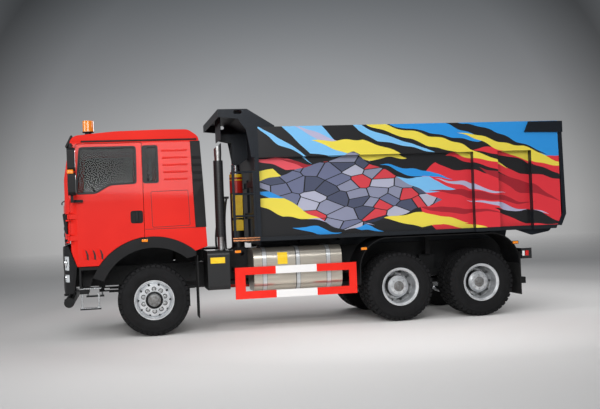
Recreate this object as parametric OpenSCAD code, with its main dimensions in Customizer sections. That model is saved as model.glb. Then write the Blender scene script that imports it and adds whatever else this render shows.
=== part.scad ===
// Three-axle dump truck with a front-hoisted tipping bed.
// X points forward, Y to the truck's left, Z up; the origin is on the ground below the middle.

/* [Layout] */
// From the front axle to the front face of the bumper
front_overhang = 1380; // [1370:5:1450]
// From the front axle to the first drive axle
wheelbase = 3825; // [3800:25:4300]
// Between the two drive axles
tandem_spacing = 1350; // [1320:10:1450]
// From the last axle to the rear face of the tailgate
rear_overhang = 1505; // [1490:5:1650]

/* [Wheels] */
// Across the tread of a tyre
tyre_diameter = 1080; // [1060:5:1090]
// Across the sidewalls of a tyre
tyre_width = 300; // [285:5:310]
// Across the flange of a rim
rim_diameter = 597; // [580:1:600]
// Between the middles of the front tyres
front_track = 2020; // [2010:5:2040]
// Between the middles of the twin wheels of one axle
rear_track = 1830; // [1820:5:1840]
// Between the middles of two twin tyres
twin_spacing = 336; // [330:1:345]
// Hand holes in a wheel disc
hand_holes = 10; // [8:1:12]

/* [Frame] */
// Over the webs of the two rails
frame_width = 850; // [830:5:860]
// Height of the upper flange above the ground
rail_top = 1050; // [1040:5:1060]
// Height of a rail
rail_height = 300; // [280:5:310]
// Width of a rail's flange
rail_flange = 85; // [75:5:95]
// Thickness of the rails
rail_gauge = 12; // [8:1:14]
// Height of the tipping subframe
subframe_height = 160; // [140:5:165]

/* [Cab] */
// Over the side panels
cab_width = 2440; // [2400:10:2460]
// From the front axle back to the foot of the rear wall
cab_back = 820; // [800:5:860]
// Top of the roof
cab_roof_height = 3110; // [3080:5:3140]
// Thickness of the cab's walls
cab_wall = 50; // [40:1:60]
// Underside of the cab floor
cab_floor_height = 1505; // [1500:1:1520]
// Height of the waist line, as a share of the way from the floor to the roof
waist_share = 0.34; // [0.32:0.005:0.36]
// Radius of the wheel arch
arch_radius = 965; // [940:5:975]
// Width of the arch moulding
arch_band = 165; // [140:5:180]

/* [Bed] */
// Over the bed sides
bed_width = 2470; // [2440:5:2490]
// Depth of a side post
post_depth = 125; // [100:5:140]
// Underside of the floor plate
bed_bottom = 1350; // [1340:5:1380]
// Upper edge of the sides
bed_top = 3100; // [3060:10:3140]
// Height of the top rail
top_rail = 470; // [430:5:500]
// Thickness of the bed plates
bed_plate = 12; // [8:1:16]
// From the front axle back to the front wall
bed_front_back = 1650; // [1645:5:1680]

/* [Hoist] */
// Radius of the outer tube
hoist_radius = 108; // [104:1:112]
// Step in radius from one stage to the next
hoist_step = 16; // [15:1:17]
// From the hoist pivot to the pin under the shield
hoist_length = 1490; // [1470:5:1500]

/* [Hidden] */
$fn = 64;
overall_length = front_overhang + wheelbase + tandem_spacing + rear_overhang;
front_x = overall_length / 2;
fa = front_x - front_overhang;
ma = fa - wheelbase;
ra = ma - tandem_spacing;
rear_x = -front_x;
axle_z = tyre_diameter / 2;
move_gap = 6;
fit = 0.05;
rim_r = rim_diameter / 2;
rail_y = frame_width / 2;
rail_low = rail_top - rail_height;
rails_front_x = front_x - 120;
rails_rear_x = ra - 775;
subframe_top = rail_top + subframe_height;
beam_y = rail_y - 5;
beam_w = 80;
cab_y = cab_width / 2;
cab_back_x = fa - cab_back;
floor_plate = 50;
waist = cab_floor_height + (cab_roof_height - cab_floor_height) * waist_share;
roof_seam = cab_roof_height - 165;
window_top = cab_roof_height - 260;
window_sill = waist + 253;
bed_y = bed_width / 2;
wall_y = bed_y - post_depth;
wall_x = fa - bed_front_back;
hoist_x = wall_x + 210;
hoist_z = rail_top + 100;
hoist_pin_z = hoist_z + hoist_length;
tube_top = hoist_pin_z - 200;
well_y = 150;
well_top = hoist_pin_z - 290;
well_foot = [wall_x - 310, bed_bottom - 60];
hinge_x = ra - 725;
hinge_z = rail_top + 130;
pin_r = 30;
gate_hinge = [rear_x + 560, bed_top - 90];
kingpin_y = front_track / 2 - 170;
guard_ends = [ma + 650, ra - 665];
guard_top = 1325;
wheel_ends = [1, -1];
door_pin = [fa + 1205, cab_y - 2];
door_pin_r = 8;
door_hinge_z = [1480, 1800];
door_hinge_h = 70;

red = [0.85, 0.1, 0.05];
black = [0.06, 0.06, 0.065];
slate = [0.16, 0.19, 0.23];
silver = [0.75, 0.76, 0.78];
grey = [0.3, 0.31, 0.32];
glass = [0.25, 0.3, 0.32, 0.4];
amber = [0.95, 0.5, 0.05];

// A block between two opposite corners.
module box(lo, hi) {
  translate(lo) cube(hi - lo);
}

// A side-view outline drawn out from one Y to another.
module across(y0, y1) {
  translate([0, y1, 0]) rotate([90, 0, 0]) linear_extrude(y1 - y0) children();
}

// A front-view outline drawn out from one X to another.
module along(x0, x1) {
  translate([x0, 0, 0]) rotate([90, 0, 90]) linear_extrude(x1 - x0) children();
}

// A piece and its mirror image on the other side of the truck.
module both_sides() {
  children();
  mirror([0, 1, 0]) children();
}

// Turns a form about Z so that its Z points to the truck's left (side 1) or right (side -1).
module facing(side) {
  rotate([-90 * side, 0, 0]) children();
}

function unit(v) = v / norm(v);
function flat(p) = [p[0], p[1]];
function corner(pts, i) = let (n = len(pts), p = flat(pts[i]), u = unit(flat(pts[(i + n - 1) % n]) - p),
  v = unit(flat(pts[(i + 1) % n]) - p), half = acos(u * v) / 2, r = pts[i][2])
  [p + u * r / tan(half), p, p + v * r / tan(half), p + unit(u + v) * r / sin(half), cross(v, u) > 0, r];

// A disc with enough sides for its size.
module disc(r) {
  circle(r = r, $fn = r > 1000 ? 720 : r > 100 ? 180 : 64);
}

// The round end of each corner that bulges out (true) or in (false).
module corner_ends(corners, bulge) {
  for (c = corners) if (c[5] > 0 && c[4] == bulge) intersection() {
    translate(c[3]) disc(c[5]);
    polygon([c[0], c[1], c[2], c[0] + c[2] - c[1]]);
  }
}

// An outline of points [x, y, corner radius] that runs anticlockwise.
module rounded(pts) {
  corners = [for (i = [0:len(pts) - 1]) corner(pts, i)];
  difference() {
    union() {
      polygon([for (c = corners) each [c[0], c[2]]]);
      corner_ends(corners, true);
    }
    corner_ends(corners, false);
  }
}

// A rectangle between two corners with round corners.
module round_rect(lo, hi, r) {
  rounded([[lo.x, lo.y, r], [hi.x, lo.y, r], [hi.x, hi.y, r], [lo.x, hi.y, r]]);
}

// Chassis

// The two channel rails of the frame, open towards each other.
module frame_rails() {
  color(black) both_sides() along(rails_rear_x, rails_front_x) difference() {
    translate([rail_y - rail_flange, rail_low]) square([rail_flange, rail_height]);
    translate([rail_y - rail_flange - 1, rail_low + rail_gauge])
      square([rail_flange + 1 - rail_gauge, rail_height - 2 * rail_gauge]);
  }
}

// Members that tie the rails, each hollowed out from behind.
module crossmembers() {
  web_y = rail_y - rail_gauge;
  low = rail_low + rail_gauge;
  high = rail_top - rail_gauge;
  color(black) for (x = [rails_front_x - 90, hoist_x + 270, (fa + ma) / 2 - 200, ma + 560, (ma + ra) / 2,
      rails_rear_x + 50]) difference() {
    box([x - 50, -web_y, low + 60], [x + 50, web_y, high]);
    box([x - 51, -web_y + 80, low + 59], [x + 40, web_y - 80, high - 15]);
  }
}

// Tipping frame on the rails, with the hoist's cradle and the ears of the bed hinge.
module subframe() {
  cradle_x = [hoist_x - 280, hoist_x + 280];
  ear_y = beam_y - beam_w;
  color(black) difference() {
    union() {
      both_sides() box([rails_rear_x, ear_y, rail_top], [cradle_x[1], beam_y, subframe_top]);
      for (x = cradle_x) box([x - 35, -beam_y, rail_top], [x + 35, beam_y, subframe_top]);
      both_sides() across(hoist_radius + 42, hoist_radius + 72) polygon([[cradle_x[0], rail_top],
        [cradle_x[1], rail_top], [hoist_x + 90, hoist_z + 90], [hoist_x - 90, hoist_z + 90]]);
      box([rails_rear_x, -beam_y, rail_top], [rails_rear_x + 80, beam_y, rail_top + 22]);
      both_sides() across(ear_y, beam_y) translate([hinge_x, hinge_z]) circle(r = 80);
    }
    translate([hinge_x, 0, hinge_z]) facing(1) cylinder(h = 2 * bed_y, r = pin_r + 5 + fit, center = true);
    translate([hoist_x, 0, hoist_z]) facing(1) cylinder(h = 2 * bed_y, r = 40 + fit, center = true);
  }
}

// Dropped front beam with an eye for a kingpin at each end.
module front_axle() {
  eye_z = 85;
  color(grey) difference() {
    union() {
      along(fa - 45, fa + 45) rounded([[-kingpin_y, axle_z - 60, 0], [-620, axle_z - 175, 60],
        [620, axle_z - 175, 60], [kingpin_y, axle_z - 60, 0], [kingpin_y, axle_z + 55, 0],
        [580, axle_z - 60, 60], [-580, axle_z - 60, 60], [-kingpin_y, axle_z + 55, 0]]);
      for (side = wheel_ends) translate([fa, side * kingpin_y, axle_z - eye_z])
      cylinder(h = 2 * eye_z, r = 58);
      for (side = wheel_ends) box([fa - 70, side * 390 - 45, axle_z - 62],
      [fa + 70, side * 390 + 45, axle_z + 60]);
    }
    for (side = wheel_ends) translate([fa, side * kingpin_y, 0]) cylinder(h = tyre_diameter, r = 25 + fit);
  }
}

// The two driven axles with their gear housings.
module drive_axles() {
  hub_y = rear_track / 2;
  color(grey) for (x = [ma, ra]) translate([x, 0, axle_z]) {
    facing(1) cylinder(h = 2 * (hub_y - 215), r = 75, center = true);
    facing(1) cylinder(h = 2 * (hub_y + 60), r = 60, center = true);
    sphere(r = 205);
    rotate([0, 90, 0]) cylinder(h = 500, r = 90, center = true);
    both_sides() box([-75, rail_y + 15, 0], [75, rail_y + 105, 100]);
  }
}

// Stacked leaves over the front axle and across the two drive axles.
module leaf_springs() {
  front_low = axle_z + 60;
  seat_z = axle_z + 100;
  mid_x = (ma + ra) / 2;
  color(black) both_sides() {
    for (k = [0:3]) box([fa - 820 + 150 * k, 345, front_low + 18 * (3 - k)],
      [fa + 820 - 150 * k, 425, front_low + 18 * (4 - k)]);
    for (x = [fa - 780, fa + 780]) box([x - 40, 360, front_low + 72], [x + 40, 410, rail_low]);
    for (k = [0:4]) box([ra - 90 + 120 * k, rail_y + 15, seat_z + 22 * k],
      [ma + 90 - 120 * k, rail_y + 105, seat_z + 22 * (k + 1)]);
    box([mid_x - 130, rail_y, seat_z + 110], [mid_x + 130, rail_y + 120, rail_top - 60]);
  }
}

// Engine, gearbox and the shafts to the drive axles.
module driveline() {
  shaft_z = 700;
  drop = shaft_z - axle_z;
  joint_x = ma + 325;
  run = fa - 1060 - joint_x;
  color(grey) {
    box([fa - 350, -310, rail_low - 10], [fa + 850, 310, cab_floor_height - 60]);
    translate([fa - 1060, 0, shaft_z + 100]) rotate([0, 90, 0]) cylinder(h = 710, r = 190);
    translate([fa - 1060, 0, shaft_z]) rotate([0, -90 - atan(drop / run), 0])
      cylinder(h = norm([run, drop]), r = 55);
    translate([joint_x, 0, axle_z]) sphere(r = 72);
    for (x = [[ma + 250, joint_x], [ra + 250, ma - 250]])
      translate([x[0], 0, axle_z]) rotate([0, 90, 0]) cylinder(h = x[1] - x[0], r = 55);
  }
}

// Four posts between the rails and the cab floor.
module cab_mounts() {
  color(black) both_sides() for (x = [fa + 960, fa - 560])
    box([x - 40, rail_y - rail_flange, rail_top], [x + 40, rail_y - 5, cab_floor_height]);
}

// Front end

function bumper_side(i) = [[front_x - 224 + i, 702 + i, 40], [front_x - 40 - i, 702 + i, 60],
  [front_x - i, 790, 60], [front_x - i, 1290, 80], [front_x - 60 - i, 1396 - i, 30],
  [front_x - 156, 1396 - i, 0],
  [front_x - 274 + i, 1096, 40]];

// The front seen from above: bowed across, with round corners.
module front_plan(x, y, r) {
  rounded([[x - 2600, -y, 0], [x - 95, -y, r], [x - 3, 0, 4000], [x - 95, y, r], [x - 2600, y, 0]]);
}

module bumper_form(i) {
  intersection() {
    across(-bed_y, bed_y) rounded(bumper_side(i));
    linear_extrude(2000) front_plan(front_x - i, cab_y - i, 240);
  }
}

// Deep front bumper, hollow, with openings for the lamps and the air intake.
module bumper() {
  color(black) difference() {
    bumper_form(0);
    across(110 - cab_y, cab_y - 110) polygon([[front_x - 300, 690], [front_x - 120, 690],
      [front_x - 120, 1376],
      [front_x - 300, 1376]]);
    both_sides() for (z = [[870, 985], [1045, 1255]])
      box([front_x - 200, cab_y - 330, z[0]], [front_x + 10, cab_y - 60, z[1]]);
    box([front_x - 200, -640, 900], [front_x + 10, 640, 1040]);
  }
}

// Headlamps in the bumper, tail lamps on arms from the rails and a beacon on the roof.
module lamps() {
  tail_x = rails_rear_x + 76;
  beacon = [fa + 886, 800, cab_roof_height - 47.2];
  color(silver) both_sides() intersection() {
    bumper_form(12);
    for (z = [[870, 985], [1045, 1255]]) box([front_x - 200, cab_y - 330, z[0]], [front_x, cab_y - 60, z[1]]);
  }
  color(amber) {
    both_sides() box([tail_x - 175, 830, 883], [tail_x, 1230, 1053]);
    both_sides() box([rails_rear_x, rail_y, 930], [tail_x, 830, 990]);
    translate(beacon) {
      cylinder(h = 60, r = 40);
      translate([0, 0, 50]) cylinder(h = 170, r = 82);
    }
  }
}

// Tube below the bumper with a towing eye.
module front_underrun() {
  tube = [front_x - 134, 561];
  color(black) difference() {
    union() {
      translate([tube.x, 0, tube.y]) facing(1) cylinder(h = 2 * 1050, r = 75, center = true);
      both_sides() box([tube.x - 40, rail_y - rail_flange, tube.y], [tube.x + 8, rail_y - 10, rail_low]);
      box([tube.x - 20, -70, tube.y - 60], [front_x - 6, 70, tube.y + 60]);
    }
    translate([front_x - 45, 0, 0]) cylinder(h = 2 * tube.y, r = 20);
    box([front_x - 100, -80, tube.y - 28], [front_x, 80, tube.y + 28]);
  }
}

// Step box below each door with a hanging step.
module entry_steps() {
  back_x = fa + 739;
  box_front_x = fa + 1080;
  color(black) both_sides() {
    difference() {
      box([back_x, 760, 690], [box_front_x, cab_y - 12, 1085]);
      box([back_x + 80, 900, 760], [box_front_x - 30, cab_y, 1040]);
      across(0, bed_y) arch_disc(arch_radius + 0.3);
    }
    box([back_x + 30, rail_y, 820], [back_x + 110, 760, 900]);
    for (x = [back_x + 70, box_front_x - 30]) box([x - 12, cab_y - 60, 470], [x + 12, cab_y - 36, 690]);
    box([back_x + 40, cab_y - 80, 455], [box_front_x, cab_y - 16, 475]);
  }
}

// Side equipment

// Rounded tank on three straps.
module fuel_tank() {
  tank = [fa - 2910, fa - 1523];
  low = 580;
  high = 1240;
  strap_x = [tank[0] + 210, (tank[0] + tank[1]) / 2, tank[1] - 170];
  color(silver) {
    along(tank[0], tank[1]) round_rect([rail_y + 70, low], [1150, high], 170);
    for (x = strap_x) along(x - 30, x + 30) difference() {
      round_rect([rail_y + 62, low - 8], [1158, high + 8], 178);
      round_rect([rail_y + 70, low], [1150, high], 170);
    }
    for (x = strap_x) box([x - 40, rail_y, 660], [x + 40, rail_y + 62, 1000]);
  }
}

// Open frames along both sides between the axles.
module side_guards() {
  ends = [ma + 707, fa - 1220];
  low = 485;
  high = 965;
  bar = 115;
  y = [1196, 1236];
  color(red) both_sides() {
    across(y[0], y[1]) difference() {
      translate([ends[0], low]) square([ends[1] - ends[0], high - low]);
      translate([ends[0] + bar, low + bar]) square([ends[1] - ends[0] - 155 - bar, high - low - 2 * bar]);
    }
  }
  color(black) both_sides() for (x = [ends[0] + 57, ends[1] - 80])
    box([x - 30, rail_y, high - 95], [x + 30, y[0], high - 35]);
}

// Silencer box behind the cab with an upright stack.
module exhaust() {
  front = fa - 815;
  back = fa - 1151;
  stack = [fa - 1060, 900];
  color(black) {
    along(back, front) round_rect([rail_y + 60, 640], [1190, 1240], 70);
    box([back + 60, rail_y, 860], [front - 60, rail_y + 60, 960]);
    translate([stack.x, stack.y, 1240]) cylinder(h = 1560, r = 54);
    translate([stack.x, stack.y, 1440]) cylinder(h = 1180, r = 74);
  }
}

// Box and air tanks on the right side.
module battery_box() {
  color(black) mirror([0, 1, 0]) {
    along(fa - 1151, fa - 815) round_rect([rail_y + 60, 640], [1190, 1240], 40);
    box([fa - 1100, rail_y, 860], [fa - 870, rail_y + 60, 960]);
    for (x = [fa - 2500, fa - 1990, fa - 1480]) {
      translate([x, 800, 860]) rotate([0, -90, 0]) cylinder(h = 460, r = 150);
      box([x - 260, rail_y, 830], [x - 200, 680, 890]);
    }
  }
}

// The outline of the rear mudguards seen from the side, drawn in by i.
module mudguard_outline(i) {
  r = 480 - i;
  rounded([[guard_ends[1] + i, 800, 0], [guard_ends[0] - i, 600, 0], [guard_ends[0] - i, guard_top - i, r],
    [guard_ends[1] + i, guard_top - i, r]]);
}

// One long guard over the twin wheels of each side.
module rear_mudguards() {
  sheet = 14;
  y = [rail_y + 165, 1235];
  mid_x = (ma + ra) / 2;
  color(black) both_sides() {
    across(y[0], y[1]) difference() {
      mudguard_outline(0);
      mudguard_outline(sheet);
      polygon([[guard_ends[1] - 1, 790], [guard_ends[0] + 1, 590], [guard_ends[0] + 1, 601],
      [guard_ends[0] - 60, 700],
        [guard_ends[1] + 60, 850], [guard_ends[1] - 1, 801]]);
    }
    box([mid_x - 40, rail_y, rail_top - 50], [mid_x + 40, y[0] + 30, rail_top - 10]);
    box([mid_x - 40, y[0], rail_top - 10], [mid_x + 40, y[0] + 30, guard_top - sheet]);
  }
}

// Flaps behind the front wheels and behind the last axle.
module mudflaps() {
  color(black) both_sides() {
    box([fa - 672, 800, 235], [fa - 660, 1200, 1180]);
    translate([fa - 666, rail_y, 1010]) facing(1) cylinder(h = 400, r = 18);
    box([guard_ends[1] - 12.3, rail_y + 165, 310], [guard_ends[1] - 0.3, 1235, 1000]);
  }
}

// Bar below the rear end of the frame.
module rear_underrun() {
  bar_x = ra - 740;
  color(black) {
    box([bar_x - 50, -1150, 480], [bar_x + 50, 1150, 580]);
    both_sides() box([bar_x - 40, rail_y - 75, 580], [bar_x + 40, rail_y - 15, rail_low]);
  }
}

// Cab

function cab_side(i) = let (r = cab_roof_height) [[fa + 1098 - i, 1095 + i, 0], [fa + 1216 - i, 1403 + i, 0],
  [fa + 1330 - i, 1403 + i, 40], [fa + 1346 - i, waist - 120, 300], [fa + 1130 - i, r - 75 - i, 130],
  [fa + 500, r - 14 - i, 2000], [fa - 200, r - i, 3000], [fa - 600, r - 4 - i, 150],
  [fa - 748 + i, r - 120 - i, 120],
  [cab_back_x + i, 1317, 0], [fa - 629, 1251 + i, 0], [fa, 1095 + i, 0]];

function cab_front_view(i) = let (y = cab_y - i, r = cab_roof_height) [[-y, 1000, 0], [y, 1000, 0],
  [y, waist, 600],
  [y - 60, roof_seam, 200], [y - 230, r - i + 60, 0], [-y + 230, r - i + 60, 0], [-y + 60, roof_seam, 200],
  [-y, waist, 600]];

// The cab's outer form drawn in by i, as seen from the side and from above.
module cab_core(i) {
  intersection() {
    across(-bed_y, bed_y) rounded(cab_side(i));
    translate([0, 0, 900]) linear_extrude(cab_roof_height) front_plan(fa + 1346 - i, cab_y + 6 - i, 240);
  }
}

// The cab's outer form drawn in by i, rounded off over the roof as well.
module cab_form(i) {
  intersection() {
    cab_core(i);
    along(cab_back_x - 60, front_x) rounded(cab_front_view(i));
  }
}

// A skin along both sides of the cab between two depths.
module cab_skin(outer, inner) {
  along(cab_back_x - 60, front_x) difference() {
    rounded(cab_front_view(outer));
    rounded(cab_front_view(inner));
    translate([-cab_y, roof_seam]) square([cab_width, 1000]);
  }
}

// A disc about the middle of the front wheel arch, seen from the side.
module arch_disc(r) {
  translate([fa, 530]) disc(r);
}

// A ring of the front wheel arch, seen from the side.
module arch_ring(r, depth) {
  difference() {
    arch_disc(r);
    arch_disc(r - depth);
  }
}

function door_outline(g) = let (head = window_top + 55 + g, foot = 1095 - 9 * g)
  [[fa + 1098 + g, foot, 0], [fa + 1212 + g, 1395, 0], [fa + 1188 + g, waist - 112, 0],
  [fa + 1140 + g, waist + 119, 0], [fa + 1066 + g, head, 40], [fa + 110 - g, head, 20],
  [fa + 110 - g, foot, 0]];

// The outline of a door's window, with a sill that drops towards the front.
module door_window() {
  low = window_sill - 131;
  rounded([[fa + 1013, window_top, 60], [fa + 201, window_top, 60], [fa + 207, window_sill, 60],
    [fa + 587, window_sill - 13, 60], [fa + 779, low, 60], [fa + 1081, low - 4, 60]]);
}

// The outline of the window behind the door.
module quarter_window() {
  round_rect([fa - 118, window_sill + 3], [fa + 90, window_top], 50);
}

// The windscreen's opening, drawn through the front of the cab.
module screen_window() {
  along(fa + 700, front_x) round_rect([-1060, waist - 40], [1060, window_top + 30], 90);
}

// Floor plate inside the walls.
module cab_floor() {
  color(grey) intersection() {
    cab_form(cab_wall);
    box([cab_back_x, -cab_y, cab_floor_height], [front_x, cab_y, cab_floor_height + floor_plate]);
  }
}

// Rear wall between the side panels.
module cab_back_panel() {
  color(red) intersection() {
    across(-cab_y, cab_y) difference() {
      rounded(cab_side(0));
      rounded(cab_side(cab_wall));
      translate([fa - 640, 1000]) square([3000, 3000]);
    }
    along(cab_back_x - 60, fa) rounded(cab_front_view(cab_wall));
    box([cab_back_x - 100, -cab_y, 1300], [fa - 300, cab_y, roof_seam]);
  }
}

// The half of each door hinge that the cab carries: a pin between two collars on a bracket.
module hinge_brackets() {
  collar = 24;
  for (z = door_hinge_z) translate([door_pin.x, door_pin.y, z]) {
    translate([0, 0, -collar - move_gap])
      cylinder(h = door_hinge_h + 2 * (collar + move_gap), r = door_pin_r);
    for (dz = [-collar - move_gap, door_hinge_h + move_gap]) {
      translate([0, 0, dz]) cylinder(h = collar, r = 15);
      box([9, -118, dz], [37, 8, dz + collar]);
    }
  }
}

// The half of each hinge that the door carries: a strap that ends in an eye.
module hinge_straps() {
  for (z = door_hinge_z) translate([door_pin.x, door_pin.y, z]) difference() {
    union() {
      cylinder(h = door_hinge_h, r = 15);
      box([-130, -22, 0], [0, 4, door_hinge_h]);
    }
    translate([0, 0, -1]) cylinder(h = door_hinge_h + 2, r = door_pin_r + fit);
  }
}

// Front wall below and around the windscreen, with the hinge brackets.
module cab_front() {
  color(red) both_sides() hinge_brackets();
  color(red) difference() {
    intersection() {
      cab_core(0);
      along(fa + 300, front_x) rounded(cab_front_view(cab_wall + move_gap));
      box([fa + 300, -cab_y, 1000], [front_x, cab_y, roof_seam]);
    }
    cab_core(cab_wall);
    box([fa, -cab_y, 1000], [fa + 1346 - cab_wall, cab_y, cab_floor_height]);
    screen_window();
  }
}

// Roof shell above the seam.
module cab_roof() {
  color(red) difference() {
    cab_form(0);
    cab_form(cab_wall);
    box([cab_back_x - 100, -cab_y, 1000], [front_x, cab_y, roof_seam]);
  }
}

// Side panels behind the doors and above them.
module cab_sides() {
  color(red) intersection() {
    cab_skin(0, cab_wall);
    translate([0, 0, 900]) linear_extrude(cab_roof_height) front_plan(fa + 1346, cab_y + 6, 240);
    across(-bed_y, bed_y) difference() {
      rounded(cab_side(0));
      rounded(door_outline(move_gap));
      quarter_window();
      arch_disc(arch_radius + 0.3);
    }
  }
}

// Windscreen and the windows behind the doors.
module cab_glass() {
  color(glass) {
    difference() {
      intersection() {
        cab_core(14);
        screen_window();
      }
      cab_core(20);
    }
    intersection() {
      cab_skin(20, 26);
      across(-bed_y, bed_y) quarter_window();
    }
  }
}

// Wheel arch mouldings with their liners, and the sun visor on two stays.
module cab_mouldings() {
  y = [cab_y - 240, cab_y + 8];
  liner = 14;
  liner_low = 1190;
  visor = cab_roof_height;
  color(black) {
    both_sides() across(y[0], y[1]) intersection() {
      arch_ring(arch_radius, arch_band);
      polygon([[fa - 640, 1180], [fa + 720, 860], [fa + 1100, 1000], [fa + 900, 1700], [fa - 700, 1700]]);
    }
    both_sides() across(rail_y + 40, y[0] + 5) intersection() {
      arch_ring(arch_radius - 20, liner);
      translate([fa - arch_radius, liner_low]) square([2 * arch_radius, arch_radius]);
    }
    across(-1000, 1000) rounded([[fa + 1134, visor - 41, 20], [fa + 1118, visor - 60, 0],
      [fa + 1200, visor - 230, 0], [fa + 1215, visor - 245, 10], [fa + 1227, visor - 220, 20]]);
    for (y = [-600, 600]) box([fa + 1000, y - 25, cab_roof_height - 62],
      [fa + 1125, y + 25, cab_roof_height - 50]);
  }
}

// The half of the truck on one side.
module half_of(side) {
  intersection() {
    children();
    box([rear_x, side > 0 ? 0 : -bed_y, 0], [front_x, side > 0 ? bed_y : 0, 4000]);
  }
}

// A door with its window opening and hinge straps.
module door(side) {
  color(red) scale([1, side, 1]) hinge_straps();
  color(red) half_of(side) intersection() {
    cab_skin(0, cab_wall);
    translate([0, 0, 900]) linear_extrude(cab_roof_height) front_plan(fa + 1346, cab_y + 6, 240);
    across(-bed_y, bed_y) difference() {
      rounded(door_outline(0));
      door_window();
      arch_disc(arch_radius + move_gap);
    }
  }
}

// The glass of a door.
module door_glass(side) {
  color(glass) half_of(side) intersection() {
    cab_skin(20, 26);
    across(-bed_y, bed_y) door_window();
  }
}

// Two mirror heads on an arm at a front corner.
module mirror_unit(side) {
  head = [[cab_roof_height - 615, cab_roof_height - 277], [waist + 94, waist + 425]];
  low = waist - 10;
  high = cab_roof_height - 250;
  bar = 40;
  x = fa + 1140;
  foot_x = fa + 985;
  arm_y = cab_y + 170;
  lean = 54;
  color(black) scale([1, side, 1]) {
    for (z = head) along(x - 70, x + 40) round_rect([cab_y + 90, z[0]], [cab_y + 290, z[1]], 50);
    box([x - 30, arm_y, low], [x + 10, arm_y + bar, high + bar]);
    box([x - 30, cab_y + 20, low], [x + 10, arm_y, low + bar]);
    box([foot_x, cab_y + 20, low], [x - 30, cab_y + 50, low + bar]);
    box([foot_x, cab_y + 0.3, low], [foot_x + bar, cab_y + 20, low + bar]);
    box([x - 30, cab_y - lean, high], [x + 10, arm_y, high + bar]);
  }
}

// Panel, console and steering wheel.
module dashboard() {
  color(grey) {
    translate([0, 0, waist]) across(-900, 900) rounded([[fa + 820, -150, 40], [fa + 1170, -150, 0],
      [fa + 1190, -50, 0], [fa + 900, 90, 80]]);
    box([fa + 1000, -200, cab_floor_height + floor_plate], [fa + 1150, 200, waist - 150]);
    translate([fa + 760, 560, waist + 50]) rotate([0, -60, 0]) {
      rotate_extrude() translate([225, 0]) circle(r = 16);
      cylinder(h = 30, r = 60, center = true);
      for (k = [0:2]) rotate([0, 0, 120 * k]) rotate([0, 90, 0]) cylinder(h = 225, r = 12);
      translate([0, 0, -260]) cylinder(h = 260, r = 30);
    }
  }
}

// Two seats on plain bases.
module seats() {
  pan = cab_floor_height + 195;
  cushion = pan + 140;
  shoulder = cushion + 640;
  color(grey) both_sides() {
    box([fa + 80, 330, cab_floor_height + floor_plate], [fa + 520, 790, pan]);
    box([fa + 60, 310, pan], [fa + 560, 810, cushion]);
    box([fa - 20, 320, cushion], [fa + 110, 800, shoulder]);
    box([fa - 10, 420, shoulder], [fa + 90, 700, shoulder + 160]);
  }
}

// Wheels

// Fork about the kingpin with the stub that carries a front wheel.
module knuckle(side) {
  fork_z = 95;
  color(grey) translate([fa, 0, axle_z]) scale([1, side, 1]) {
    translate([0, kingpin_y, -fork_z - 45]) cylinder(h = 2 * fork_z + 90, r = 25);
    for (z = [fork_z, -fork_z - 45]) {
      translate([0, kingpin_y, z]) cylinder(h = 45, r = 55);
      box([-55, kingpin_y, z], [55, kingpin_y + 95, z + 45]);
    }
    box([-70, kingpin_y + 64, -fork_z - 45], [70, kingpin_y + 96, fork_z + 45]);
    translate([0, kingpin_y + 90, 0]) facing(1) cylinder(h = 180, r = 40);
  }
}

// Half section of a rim about its middle, with a flange at each edge.
module rim_section(z) {
  w = tyre_width / 2 - 12;
  polygon([for (p = [[0, -w], [0, -w + 10], [-26, -w + 20], [-26, w - 20], [0, w - 10], [0, w], [-14, w],
    [-40, w - 24], [-40, 24 - w], [-14, -w]]) [rim_r + p.x, z + p.y]]);
}

// Half section of a tyre about its middle.
module tyre_section(z) {
  w = tyre_width / 2;
  r = tyre_diameter / 2;
  translate([0, z]) rounded([[rim_r - 26, -w + 33, 0], [rim_r + 4, -w + 22, 0], [rim_r + 40, -w + 4, 20],
    [r - 110, -w, 120], [r - 20, -w + 14, 20], [r, -w + 40, 12], [r, w - 40, 12], [r - 20, w - 14, 20],
    [r - 110, w, 120], [rim_r + 40, w - 4, 20], [rim_r + 4, w - 22, 0], [rim_r - 26, w - 33, 0]]);
}

// Front rim with a bulging disc and hub.
module front_wheel(side) {
  color(silver) translate([fa, side * front_track / 2, axle_z]) facing(side) difference() {
    rotate_extrude() {
      rim_section(0);
      polygon([[0, -62], [205, -62], [205, 40], [180, 60], [180, 118], [225, 112], [rim_r - 41, 66],
      [rim_r - 30, 66],
        [rim_r - 30, 82], [228, 128], [100, 134], [90, 185], [60, 200], [0, 200]]);
    }
    translate([0, 0, -63]) cylinder(h = 170, r = 40 + fit);
    for (k = [1:hand_holes]) rotate([0, 0, 360 * k / hand_holes]) translate([236, 0, 50])
      cylinder(h = 100, r = 16);
  }
}

// Two rims bolted back to back on one hub.
module twin_wheel(x, side) {
  half = twin_spacing / 2;
  color(silver) translate([x, side * rear_track / 2, axle_z]) facing(side) difference() {
    rotate_extrude() {
      rim_section(half);
      rim_section(-half);
      polygon([[0, -205], [205, -205], [205, -20], [rim_r - 32, -70], [rim_r - 32, -52], [220, 0],
        [rim_r - 32, 52], [rim_r - 32, 70], [205, 22], [168, 22], [168, 170], [130, 200], [60, 208],
        [0, 208]]);
    }
    translate([0, 0, -206]) cylinder(h = 280, r = 60 + fit);
    for (k = [1:hand_holes]) rotate([0, 0, 360 * k / hand_holes]) translate([234, 0, -100])
      cylinder(h = 200, r = 20);
  }
}

// One tyre on a front rim.
module front_tyre(side) {
  color(black) translate([fa, side * front_track / 2, axle_z]) facing(side) rotate_extrude() tyre_section(0);
}

// The two tyres of a pair of twin rims.
module twin_tyres(x, side) {
  color(black) translate([x, side * rear_track / 2, axle_z]) facing(side)
    for (z = [1, -1]) rotate_extrude() tyre_section(z * twin_spacing / 2);
}

// Bed

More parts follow.
